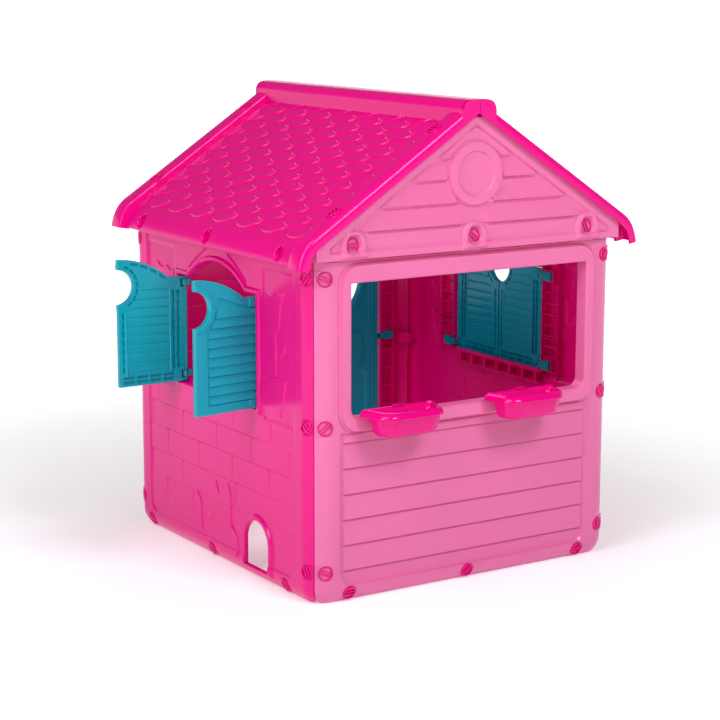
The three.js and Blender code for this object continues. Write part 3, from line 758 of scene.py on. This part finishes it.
piece("front_wall_moulding", front_wall(), FRONT, LIGHT_PINK, "house", "front_wall")
piece("back_wall_moulding", back_wall(), BACK, HOT_PINK, "house", "back_wall")
side_panel = side_wall()
piece("left_wall_moulding", side_panel, LEFT, HOT_PINK, "house", "left_wall")
piece("right_wall_moulding", side_panel, RIGHT, HOT_PINK, "house", "right_wall")


# ---------- Gables ----------
GABLE_PROUD = 15
SLOPE = 0.656
RAKE_TOP = 1258.4  # height of the rakes' top lines, carried up to the middle
GABLE_SCREW_X = (-365, 0, 365)
GABLE_SCREW_Z = 911
GABLE_DROP = 10.4  # how far the gable's edge lies under the rakes' top lines
BLIND_Z = 1071  # middle of the blind window
SCOOP = [(-26, 908), (-18, 891), (0, 885), (18, 891), (26, 908), (20, 933), (0, 945), (-20, 933)]


def gable_field(inset, foot, half):
    def top(x):
        return RAKE_TOP - GABLE_DROP - SLOPE * x - inset

    return np.array([(-half, foot), (half, foot), (half, top(half)), (0, top(0)), (-half, top(half))])


def gable_gaps(z):
    """Where a lap runs between the slopes, past the blind window and the screws' bosses."""
    reach = (RAKE_TOP - GABLE_DROP - 66 - z) / SLOPE
    edge = min(reach, 424)
    stops = []
    clear = 92
    if abs(z - BLIND_Z) < clear:
        half = math.sqrt(clear**2 - (z - BLIND_Z) ** 2)
        stops.append((-half, half))
    if z < 958:
        stops += [(x - 48, x + 48) for x in GABLE_SCREW_X]
    runs, start = [], -edge
    for left, right in sorted(stops):
        runs.append((start, left))
        start = right
    runs.append((start, edge))
    return [(a, b) for a, b in runs if b - a > 12]


def gable():
    relief = Relief()
    blind = circle((0, BLIND_Z), 84, 40)
    scoops, bosses = [], []
    for x in GABLE_SCREW_X:
        bosses.append(np.vstack([[(x - 40, 879), (x + 40, 879)], arc((x, 913), 40, 0, 180, 14)]))
        scoops.append(curve([(x + dx, z) for dx, z in SCOOP], 4, True))
    field = gable_field(50, 893, 437)
    relief.plateau(field, -6, 6)
    laps = [895, 947, 1002, 1062, 1116, 1180]
    relief.boards(gable_field(56, 895, 430), laps, 6.5, 8, 4, [blind, *bosses])
    for z in laps[1:]:
        for start, end in gable_gaps(z):
            relief.ridge([(start, z - 1), (end, z - 1)], 1.5, 2.6)
            relief.ridge([(start, z - 9), (end, z - 9)], -2.4, 3.2)
    relief.plateau(blind, 10, 6)
    relief.plateau(circle((0, BLIND_Z), 60, 32), -6.5, 6)
    for boss, scoop in zip(bosses, scoops):
        relief.plateau(boss, 9, 7, (0, 0.33, 0.67, 1))
        relief.plateau(counterclockwise(scoop), -14, 12)
    right = [(473, 876.6), (473, 937.5), (50, 1215)]
    outline = np.array([(-473, 876.6), *right, (-50, 1215), (-473, 937.5)])
    return sheet(outline, [], relief, 4, 2, 42, plane(-GABLE_PROUD))


gable_panel = gable()
for end, frame_of_end in (("front", FRONT), ("back", BACK)):
    piece(f"{end}_gable_moulding", gable_panel, frame_of_end, LIGHT_PINK, "house", f"{end}_gable")


# ---------- Roof: the right half, in the house's frame ----------
RAKE_INNER = 460
RIDGE_END = 526
EAVE_Z = 863
FIELD_DROP = 26.4
EAVE_SCREWS = (-380, 0, 380)
RAKE_SCREWS, RAKE_SCREW_Y = {"upper": 110, "lower": 405}, 482
EAVE_Z_SCREW, EAVE_SEAT, POCKET = 890, 483, 20.3
SCALE_PITCH, ROW_PITCH, SCALE_RADIUS = 128, 36.5, 74.4
SCALE_LIFT, SCALE_STEP = 2.6, 1.6
ROWS, LAST_ROW = 14, 420 * math.hypot(1, SLOPE)
BEAD, BEAD_HALF = 1.7, 2.6  # the raised line round each scale


def rake_z(x):
    return RAKE_TOP - SLOPE * x


def roof_path(drop, ridge_x, bend_x, corner_x, eave_x, steps=12):
    """Down the slope from the ridge and round to the eave, some way under the rakes' top lines."""
    top, start, mid = (np.array((x, rake_z(x) - drop)) for x in (ridge_x, bend_x, corner_x))
    end = np.array((eave_x, EAVE_Z))
    t = np.linspace(0, 1, steps + 1)[:, None]
    return np.vstack([top, (1 - t) ** 2 * start + 2 * t * (1 - t) * mid + t**2 * end])


FIELD_PATH = roof_path(FIELD_DROP, 47, 455, 508, 511.5)
RAKE_PATH = roof_path(0, 48, 487, 522.5, 530.5)
FIELD_RUN = np.concatenate([[0], np.cumsum(np.hypot(*np.diff(FIELD_PATH, axis=0).T))])
FIELD_UP = -edge_normals(FIELD_PATH, closed=False)
FIELD_UP /= np.hypot(*FIELD_UP.T)[:, None]


def along_field(run):
    x, z = (np.interp(run, FIELD_RUN, FIELD_PATH[:, k]) for k in (0, 1))
    up = np.column_stack([np.interp(run, FIELD_RUN, FIELD_UP[:, k]) for k in (0, 1)])
    return x, z, up


def field_place(flat, height):
    """A point's run is measured down the slope from the ridge, against the sheet's own height."""
    run = FIELD_RUN[-1] - flat[:, 1]
    x, z, up = along_field(run)
    beyond = np.maximum(run - FIELD_RUN[-1], 0)
    return np.column_stack([x + up[:, 0] * height, flat[:, 0], z - beyond + up[:, 1] * height])


def scale_across(row, y):
    """How far a point lies from the middle line of its scale."""
    return (y - SCALE_PITCH / 2 * (row % 2) + SCALE_PITCH / 2) % SCALE_PITCH - SCALE_PITCH / 2


def scale_edge(row, y, radius=SCALE_RADIUS):
    """How far down the slope the lower edge of a row of scales lies."""
    centre = LAST_ROW - ROW_PITCH * row - SCALE_RADIUS
    return centre + np.sqrt(radius**2 - scale_across(row, y) ** 2)


def shingle_height(points):
    """Rows count up from the eave; the upper row lies over the lower one."""
    y, run = points[:, 0], FIELD_RUN[-1] - points[:, 1]
    total = np.zeros(len(points))
    for row in range(ROWS):
        edge = scale_edge(row, y)
        own = SCALE_LIFT * (1 - (edge - run) / (2 * ROW_PITCH))
        past = np.clip((run - edge) / SCALE_STEP, 0, 1)
        own = np.where(past > 0, SCALE_LIFT + (total - SCALE_LIFT) * past, own)
        total = np.where(run <= edge + SCALE_STEP, own, total)
    for row in range(ROWS):
        across = scale_across(row, y)
        centre = LAST_ROW - ROW_PITCH * row - SCALE_RADIUS
        off = np.hypot(across, run - centre) - SCALE_RADIUS
        bead = BEAD * np.sqrt(np.clip(1 - (off / BEAD_HALF) ** 2, 0, 1))
        total = total + np.where(run > centre, bead, 0) * (np.abs(across) < SCALE_PITCH / 2 - 1.2)
    side = np.clip((RAKE_INNER - 2 - np.abs(y)) / 4, 0, 1)
    return total * side


def roof_field():
    relief = Relief()
    top = FIELD_RUN[-1]
    for row in range(ROWS):
        middle = SCALE_PITCH / 2 * (row % 2)
        for number in range(-5, 6):
            y = middle + SCALE_PITCH * number + np.linspace(-63.999, 63.999, 13)
            y = y[np.abs(y) < RAKE_INNER]
            if len(y) > 1:
                for share in (-1, -0.8, -0.4, 0, 0.4, 0.8, 1):
                    run = scale_edge(row, y, SCALE_RADIUS + BEAD_HALF * share)
                    relief.bend(np.column_stack([y, top - run]), False)
    for run in FIELD_RUN[1:-1]:
        relief.bend([(-RAKE_INNER, top - run), (RAKE_INNER, top - run)], False)
    relief.terms.append(shingle_height)
    holes = []
    rise = np.linspace(-90, 90, 13)
    for y in EAVE_SCREWS:
        z = EAVE_Z_SCREW + POCKET * np.sin(np.radians(rise))
        run = np.interp(-z, -FIELD_PATH[:, 1], FIELD_RUN)
        half = POCKET * np.cos(np.radians(rise))
        right = np.column_stack([y + half, top - run])
        left = np.column_stack([y - half, top - run])[::-1]
        holes.append(np.vstack([right, left[1:-1]]))

    def pocket(ring):
        wall = ring.copy()
        wall[:, 0] = EAVE_SEAT
        return [wall]

    outline = np.array([(-RAKE_INNER, 0), (RAKE_INNER, 0), (RAKE_INNER, top), (-RAKE_INNER, top)])
    return sheet(outline, holes, relief, 2, 2.5, None, field_place, 4, 3, pocket)


def rake(way):
    inner_edge = [(458, -25), (461, -24.5), (462.5, -7), (464.5, -2.5), (468, -0.6), (490, 0.4)]
    outer_edge = [(509, 0), (514, -0.8), (518.4, -2.8), (521.8, -6), (524.1, -10.4), (525, -16)]
    underside = [(525, -29.4), (519.5, -29.4), (518.5, -8), (515, -5), (470, -5), (467, -8),
                 (465.5, -28), (458, -29)]
    part = sweep(RAKE_PATH, inner_edge + outer_edge + underside)
    return part if way > 0 else turned(part, Matrix.Scale(-1, 4, (0, 1, 0)))


def ridge():
    outer = [(0.4, 1258.8), (14, 1258.6), (26, 1257.6), (36, 1255), (44, 1250), (49, 1242),
             (51.6, 1231), (51.8, 1197)]
    inner = [(47, 1197), (46.6, 1230), (44, 1240), (40, 1246), (33, 1250), (24, 1252.6),
             (5, 1253.6), (5, 1222), (0.4, 1222)]
    roll = extruded(outer + inner, -RIDGE_END + 0.3, RIDGE_END - 0.3, 1.2)
    caps = []
    for sign in (-1, 1):
        y0, y1 = sorted((sign * 517, sign * (RIDGE_END - 0.5)))
        foot = [(x, rake_z(x) - 35) for x in (51.8, 0.4)]
        caps.append(extruded(outer[:-1] + foot, y0, y1, 1.2))
    return merge(roll, *caps)


def roof_half():
    section = [(1, -3), (5.5, -1), (5, 1.2), (3.4, 2.0), (1.4, 1.2), (0.8, -3)]
    collar = lathe([(HEAD + more, z) for more, z in section])
    collars = []
    for x in RAKE_SCREWS.values():
        for y in (-RAKE_SCREW_Y, RAKE_SCREW_Y):
            collars.append(aimed(collar, (x, y, rake_z(x)), (SLOPE, 0, 1)))
    return merge(roof_field(), rake(1), rake(-1), ridge(), *collars)


right_roof = roof_half()
half_turn = Matrix.Rotation(math.pi, 4, "Z")
piece("roof_right_moulding", right_roof, HOUSE, HOT_PINK, "house", "roof_right")
piece("roof_left_moulding", right_roof, HOUSE @ half_turn, HOT_PINK, "house", "roof_left")


# ---------- Shutters and door, each in the frame of its own pivot axis ----------
LEAF = 7  # half the thickness of a leaf
PIVOT_INSET = 12
CLIP_GAP = 10.7  # half the length of a stile's bare part at a clip
ARCH_Z = 578  # middle of the window's arch
MOON = (204, 738)  # middle of the round gap that a pair of shutters leaves


def stile(low_end, high_end, clips):
    """The round hinge edge of a leaf, bared to a thin pin where the clips hold it."""
    parts = [bar(3.4, (0, 0, low_end + 1), (0, 0, high_end - 1), 0.4)]
    bare = [z + side * CLIP_GAP for z in sorted(clips) for side in (-1, 1)]
    edges = [low_end, *bare, high_end]
    for z0, z1 in zip(edges[::2], edges[1::2]):
        parts.append(bar(7, (0, 0, z0), (0, 0, z1)))
    return merge(*parts)


def leaf(outline, holes, outer, inner):
    """Two moulded faces, one turned in over the other: the outer one looks to -Y."""
    flipped = [loop * [-1, 1] for loop in [outline, *holes]]
    return merge(
        sheet(outline, holes, outer, 2, 2, 2 * LEAF - 0.5, plane(-LEAF), 2),
        sheet(flipped[0], flipped[1:], inner, 2, 2, 3.5, plane(LEAF, 1), 1.5),
    )


def moon(radius):
    return circle(MOON, radius, 28)


def shutter_outline():
    start = 4.0
    arch = arc((204, ARCH_Z), 235, 90.5, 131.1, 14)
    bite = arc(MOON, 48, 267.6, 92.4, 16)
    line = np.vstack([[(start, 465), (202, 465)], bite, arch, [(start, 755)]])
    notched = []
    for z in (484, 738):
        above, below = z + CLIP_GAP, z - CLIP_GAP
        notched += [(start, above), (14, above), (14, below), (start, below)]
    return np.vstack([line, notched[4:], notched[:4]])


def shutter():
    right_side = [(166, 487), (166, 676), (142, 712), (134, 745), (128, 765)]
    field = np.array([(9, 487), *right_side, (100, 754), (50, 738), (9, 728)])
    laps = list(np.arange(490, 716, 24.6))
    outer = Relief()
    outer.plateau(field, -4.4, 3.5)
    outer.boards(grown(field, -2), laps, 5.5, 3.4, 2, [moon(66)])
    outer.plateau(moon(63), 2.4, 3)
    outer.ridge(arc((204, ARCH_Z), 222, 100, 134, 10), 1.6, 4.5)
    for z in (484, 742):
        outer.plateau(rounded_rect(15, 34, z - 13, z + 13, 4, steps=2), 1.6, 2)

    inner = Relief()

    def channel(loop):
        inner.plateau(loop, -5, 1.5, (0, 1))

    def band(centre, radius, start, end, steps):
        inside, outside = (arc(centre, r, start, end, steps) for r in (radius, radius + 7))
        channel(np.vstack([outside, inside[::-1]]))

    for x0, x1 in ((-27, -18), (-41, -32)):
        channel(rounded_rect(x0, x1, 502, 720, 3, steps=2))
    for z in np.arange(515, 712, 24.6):
        inner.ridge([(-43, z), (-16, z)], 4, 1.8)
    for z0, z1 in ((471, 480), (484, 492)):
        for x in (-190, -150, -110, -70):
            channel(rounded_rect(x, x + 34, z0, z1, 2, steps=2))
    for z in np.arange(503, 730, 24.6):
        inner.ridge([(-168 + max(z - 672, 0) * 0.7, z), (-50, z)], -2.2, 3.4)
    for start in np.arange(500, 660, 24.6):
        channel(rounded_rect(-192, -186, start, start + 20, 2, steps=2))
    for start in range(-60, 55, 19):
        band((-204, 738), 56, start, start + 15, 4)
    for start in (50, 58, 66, 74):
        band((-204, ARCH_Z), 222, start, start + 6, 3)
    inner.ridge([(-180, 492), (-180, 668)], 2, 2.5)
    inner.ridge([(-47, 498), (-47, 722)], 2, 2.5)
    heights = ((497, 506), (464.8, 472), (718, 726), (749.5, 754))
    blocks = [slab(5, 22, -8.6, 8.6, z0, z1, 1) for z0, z1 in heights]
    both_faces = leaf(shutter_outline(), [], outer, inner)
    return merge(both_faces, stile(465, 755, SHUTTER_CLIP_Z.values()), *blocks)


def door():
    outline = rounded_rect(5, 383, 46, 842, 8, steps=3)
    port = circle((188, 660), 130, 48)
    outer, inner = Relief(), Relief()
    for relief, way in ((outer, 1), (inner, -1)):
        relief.plateau(circle((way * 188, 660), 152, 48), 4, 6)
        for x0, x1, z0, z1, corner, rise, run in (
            (34, 349, 84, 366, 20, -4, 8),
            (52, 324, 384, 491, 10, 4, 4),
            (104, 272, 423, 452, 6, -5, 3),
        ):
            panel = rounded_rect(*sorted((way * x0, way * x1)), z0, z1, corner)
            relief.plateau(panel, rise, run)
    outer.boards(rounded_rect(44, 339, 92, 358, 14), [96, 162, 228, 294], 3, 3)
    for x in (-20, -32):
        inner.ridge([(x, 150), (x, 450)], -3, 2.5)
        inner.ridge([(x, 500), (x, 760)], -3, 2.5)
    return merge(leaf(outline, [port], outer, inner), stile(46, 842, DOOR_CLIP_Z.values()))


def hinge_clip(z):
    """A ring round the pin, a leg round the jamb, an arm and a tab inside the wall."""
    section = [(4.2, -7.8), (6.4, -7.8), (6.6, -7.2), (6.6, 7.2), (6.4, 7.8), (4.2, 7.8)]
    return merge(
        lathe([(r, z + h) for r, h in section], 20, True),
        slab(-3, 3, 5, 21, z - 8, z + 8, 1),
        slab(-3, 50, 17, 21, z - 8, z + 8, 1),
        slab(19.5, 52.5, 4, 21, z - 12.5, z + 12.5, 1.5),
        slab(24, 48, 21, 22.6, z - 6, z + 6, 0.7),
    )


def hang(wall, name, part, hand, pivot, clips, degrees):
    """Hand is +1 where the pivot is at the wall's right, seen from outside."""
    at = wall @ Matrix.Translation((pivot, PIVOT_INSET, 0))
    turn = Matrix.Rotation(math.radians(hand * degrees), 4, "Z")
    flip = Matrix.Scale(-hand, 4, (1, 0, 0))
    flip_clip = Matrix.Scale(hand, 4, (1, 0, 0))
    piece(f"{name}_leaf", part, at @ turn @ flip, TEAL, name, name)
    for place, z in clips.items():
        node = f"{name}_{place}_clip"
        piece(f"{node}_moulding", hinge_clip(z), at @ flip_clip, TEAL, "house", node)


shutter_leaf = shutter()
for name, wall, hand, open_by in (
    ("shutter_left_front", LEFT, 1, 98),
    ("shutter_left_rear", LEFT, -1, 90),
    ("shutter_right_front", RIGHT, -1, 0),
    ("shutter_right_rear", RIGHT, 1, 0),
):
    hang(wall, name, shutter_leaf, hand, hand * SHUTTER_PIVOT, SHUTTER_CLIP_Z, open_by)
hang(BACK, "door", door(), -1, DOOR_PIVOT, DOOR_CLIP_Z, 0)


# ---------- Flower boxes: a trough with a wide rolled rim, hooked over the sill ----------
def flower_box(x):
    def loop(spread, z, shrink=0.0):
        """The body's outline at spread 0, and at 1 the rim's, which flares towards the wall."""
        near_half, far_half = 98 + 4 * spread - shrink, 98 + 19 * spread - shrink
        front, back = -601 - 5 * spread + shrink, -519 + 7 * spread - shrink * (1 - spread)
        round_front, round_back = 46 + 4 * spread - shrink * 0.5, 12 - 3 * spread
        corners = [
            (near_half - round_front, front + round_front, round_front, -90),
            (far_half - round_back, back - round_back, round_back, 0),
            (round_back - far_half, back - round_back, round_back, 90),
            (round_front - near_half, front + round_front, round_front, 180),
        ]
        flat = np.vstack([arc((x + cx, cy), r, turn, turn + 90, 9) for cx, cy, r, turn in corners])
        return np.column_stack([flat, np.full(len(flat), z)])

    levels = [(0, 434.2, 30), (0, 434.8, 22), (0, 438, 14), (0, 445, 9.5), (0, 462, 6), (0, 478, 3.5),
              (0, 481.5, 3), (1, 481.2, 0.8), (1, 482.4, 0), (1, 485.5, 0.3), (1, 489.5, 1.8),
              (1, 493.5, 4.6), (1, 496.8, 8.4), (1, 499, 12.4), (1, 499.9, 16), (1, 499.2, 18.6),
              (0.7, 496, 18.8), (0.35, 488, 17.6), (0, 470, 17), (0, 446, 19), (0, 439.5, 23),
              (0, 437.4, 30)]
    trough = rings([loop(*level) for level in levels])
    hook = merge(
        slab(x - 18, x + 18, -521, -510, 478.4, 497, 1.2),
        slab(x - 18, x + 18, -515, -462.5, 478.2, 483, 1.6),
        slab(x - 18, x + 18, -465, -462.1, 455, 483, 1.2),
        slab(x - 17, x + 17, -518, -511.8, 494, 503.5, 2.2),
    )
    return merge(trough, hook)


for name, x in (("flower_box_left", -237), ("flower_box_right", 146)):
    piece(f"{name}_moulding", flower_box(x), HOUSE, MAGENTA, name, name)


# ---------- Fasteners ----------
chance = np.random.default_rng(7)


def any_turn():
    return float(chance.uniform(0, 180))


FOOT_TILT = 0.44  # slope of the rolled foot where its screws sit
FOOT_BACK = 6.4


def foot_screw():
    """A screw on the rolled foot of a wall, with the collar that evens out the curve behind it."""
    collar = lathe([(HEAD - 2, -13), (HEAD - 1, -12), (HEAD - 1, -0.1)], 28)
    return merge(screw_head(any_turn(), 10), collar)


def corner_fixing(sign_x, sign_y, z):
    """Two screws on a round corner, and the curved plate behind them."""
    centre = Vector((sign_x * FLAT_X, sign_y * FLAT_Y, z))
    facing = [math.radians(SIDE_SEAT), math.radians(90 - END_SEAT)]
    parts = []
    for angle in facing:
        outward = Vector((sign_x * math.cos(angle), sign_y * math.sin(angle), 0))
        parts.append(aimed(screw_head(any_turn(), 33), centre + outward * (BEND - 1.8), outward))
    sector = np.vstack([arc((0, 0), 31.3, 2, 88, 8), arc((0, 0), 23.2, 88, 2, 8)])
    plate = turned(upright(sector, -15, 15, 1), Matrix.Diagonal((sign_x, sign_y, 1, 1)))
    return merge(*parts, turned(plate, Matrix.Translation(centre)))


def fastener(name, part, *nodes):
    piece(name, part, HOUSE, MAGENTA, "house", *nodes)


for end, sign_y in (("front", -1), ("back", 1)):
    for flank, sign_x in (("left", -1), ("right", 1)):
        for height, z in zip(("low", "middle", "high"), CORNER_Z):
            node = f"corner_{end}_{flank}_{height}"
            fastener(f"{node}_screws", corner_fixing(sign_x, sign_y, z), node)
        for height, x in RAKE_SCREWS.items():
            node = f"rake_screw_{end}_{flank}_{height}"
            place = (sign_x * (x + 0.5), sign_y * RAKE_SCREW_Y, rake_z(x) + 0.8)
            head = aimed(screw_head(any_turn(), 24), place, (sign_x * SLOPE, 0, 1))
            fastener(f"{node}_head", head, node)
    for number, x in zip(("left", "middle", "right"), GABLE_SCREW_X):
        node = f"gable_screw_{end}_{number}"
        place = (x, sign_y * (HALF_Y + GABLE_PROUD - 10.0), GABLE_SCREW_Z)
        fastener(f"{node}_head", aimed(screw_head(any_turn(), 18), place, (0, sign_y, 0)), node)
    for number, x in zip(("left", "middle", "right"), END_FOOT_SCREWS):
        place = (x, sign_y * (HALF_Y - FOOT_BACK), FOOT_SCREW_Z - 0.8)
        fastener(f"foot_screw_{end}_{number}", aimed(foot_screw(), place, (0, sign_y, -FOOT_TILT)))
for flank, sign_x in (("left", -1), ("right", 1)):
    for number, y in zip(("front", "middle", "rear"), EAVE_SCREWS):
        node = f"eave_screw_{flank}_{number}"
        place = (sign_x * (EAVE_SEAT + 0.6), y, EAVE_Z_SCREW)
        fastener(f"{node}_head", aimed(screw_head(any_turn(), 12), place, (sign_x, 0, 0)), node)
    along = sorted(sign_x * u for u in SIDE_FOOT_SCREWS)
    for number, y in zip(("front", "middle", "rear"), along):
        place = (sign_x * (HALF_X - FOOT_BACK), y, FOOT_SCREW_Z - 0.8)
        fastener(f"foot_screw_{flank}_{number}", aimed(foot_screw(), place, (sign_x, 0, -FOOT_TILT)))


# ---------- Camera, light and floor ----------
def studio():
    scene = bpy.context.scene
    link = scene.collection.objects.link
    lens = bpy.data.cameras.new("camera")
    camera = bpy.data.objects.new("camera", lens)
    link(camera)
    lens.lens, lens.sensor_width, lens.clip_end = 98.96, 36, 50
    lens.shift_x, lens.shift_y = -0.0356, 0.0074
    camera.location = HOUSE @ Vector((-2936.4, -4573.9, 1562.8))
    yaw, pitch, roll = math.radians(33.26), math.radians(-11.156), math.radians(-0.235)
    tilt = Matrix.Rotation(math.pi / 2 + pitch, 3, "X") @ Matrix.Rotation(-roll, 3, "Z")
    camera.rotation_euler = (Matrix.Rotation(-yaw, 3, "Z") @ tilt).to_euler()
    scene.camera = camera

    def softbox(name, place, target, width, height, power, colour=(1, 1, 1)):
        data = bpy.data.lights.new(name, "AREA")
        data.shape = "RECTANGLE"
        data.size, data.size_y, data.energy, data.color = width, height, power, colour
        lamp = bpy.data.objects.new(name, data)
        lamp.location = place
        aim = Vector(target) - Vector(place)
        lamp.rotation_euler = aim.to_track_quat("-Z", "Y").to_euler()
        link(lamp)

    middle = (0, 0, 0.6)
    softbox("key_light", (0.3, -4.2, 4.4), middle, 1.9, 1.5, 150)
    softbox("fill_light", (-4.4, -1.6, 2.6), middle, 1.6, 2.0, 85)
    softbox("top_light", (-2.4, -1.4, 4.2), middle, 2.0, 2.0, 60)
    indoors = (MID_X * MM, MID_Y * MM)
    softbox("inside_light", (*indoors, 1.0), (*indoors, 0), 0.3, 0.6, 1.5, (1, 0.78, 0.86))

    world = bpy.data.worlds.new("world")
    world.use_nodes = True
    put(world.node_tree.nodes["Background"], {"Color": (1, 1, 1, 1), "Strength": 0.12})
    scene.world = world
    scene.view_settings.view_transform = "Standard"

    # The floor and backdrop glow: painted light, weaker near the house and stronger further off, so
    # that they read white and light the house from below.
    glowing_paper = bpy.data.materials.new("glowing_paper")
    glowing_paper.use_nodes = True
    nodes, links = glowing_paper.node_tree.nodes, glowing_paper.node_tree.links
    shader = nodes["Principled BSDF"]
    put(shader, {"Base Color": (0.80, 0.80, 0.84, 1), "Roughness": 0.8})
    put(shader, {"Emission Color": (1, 1, 1, 1)})
    place = nodes.new("ShaderNodeTexCoord")
    far = nodes.new("ShaderNodeVectorMath")
    far.operation = "LENGTH"
    links.new(place.outputs["Object"], far.inputs[0])
    glow = nodes.new("ShaderNodeMapRange")
    put(glow, {"From Min": 0.7, "From Max": 3.0, "To Min": 0.32, "To Max": 0.9})
    links.new(far.outputs["Value"], glow.inputs["Value"])
    links.new(glow.outputs["Result"], shader.inputs["Emission Strength"])
    floor_mesh = bpy.data.meshes.new("floor")
    reach, deep, high_up, bend = 30.0, 7.0, 3.8, 3.0
    line = [(-reach, 0.0)]
    for a in np.linspace(0, math.pi / 2, 16):
        line.append((deep + bend * math.sin(a), bend * (1 - math.cos(a))))
    line.append((deep + bend, high_up))
    vertices = [(x, y, z) for y, z in line for x in (-reach, reach)]
    faces = [(2 * i, 2 * i + 1, 2 * i + 3, 2 * i + 2) for i in range(len(line) - 1)]
    floor_mesh.from_pydata(vertices, [], faces)
    floor_mesh.materials.append(glowing_paper)
    floor_mesh.shade_smooth()
    floor = bpy.data.objects.new("floor", floor_mesh)
    floor.rotation_euler = (0, 0, -yaw)
    link(floor)


studio()
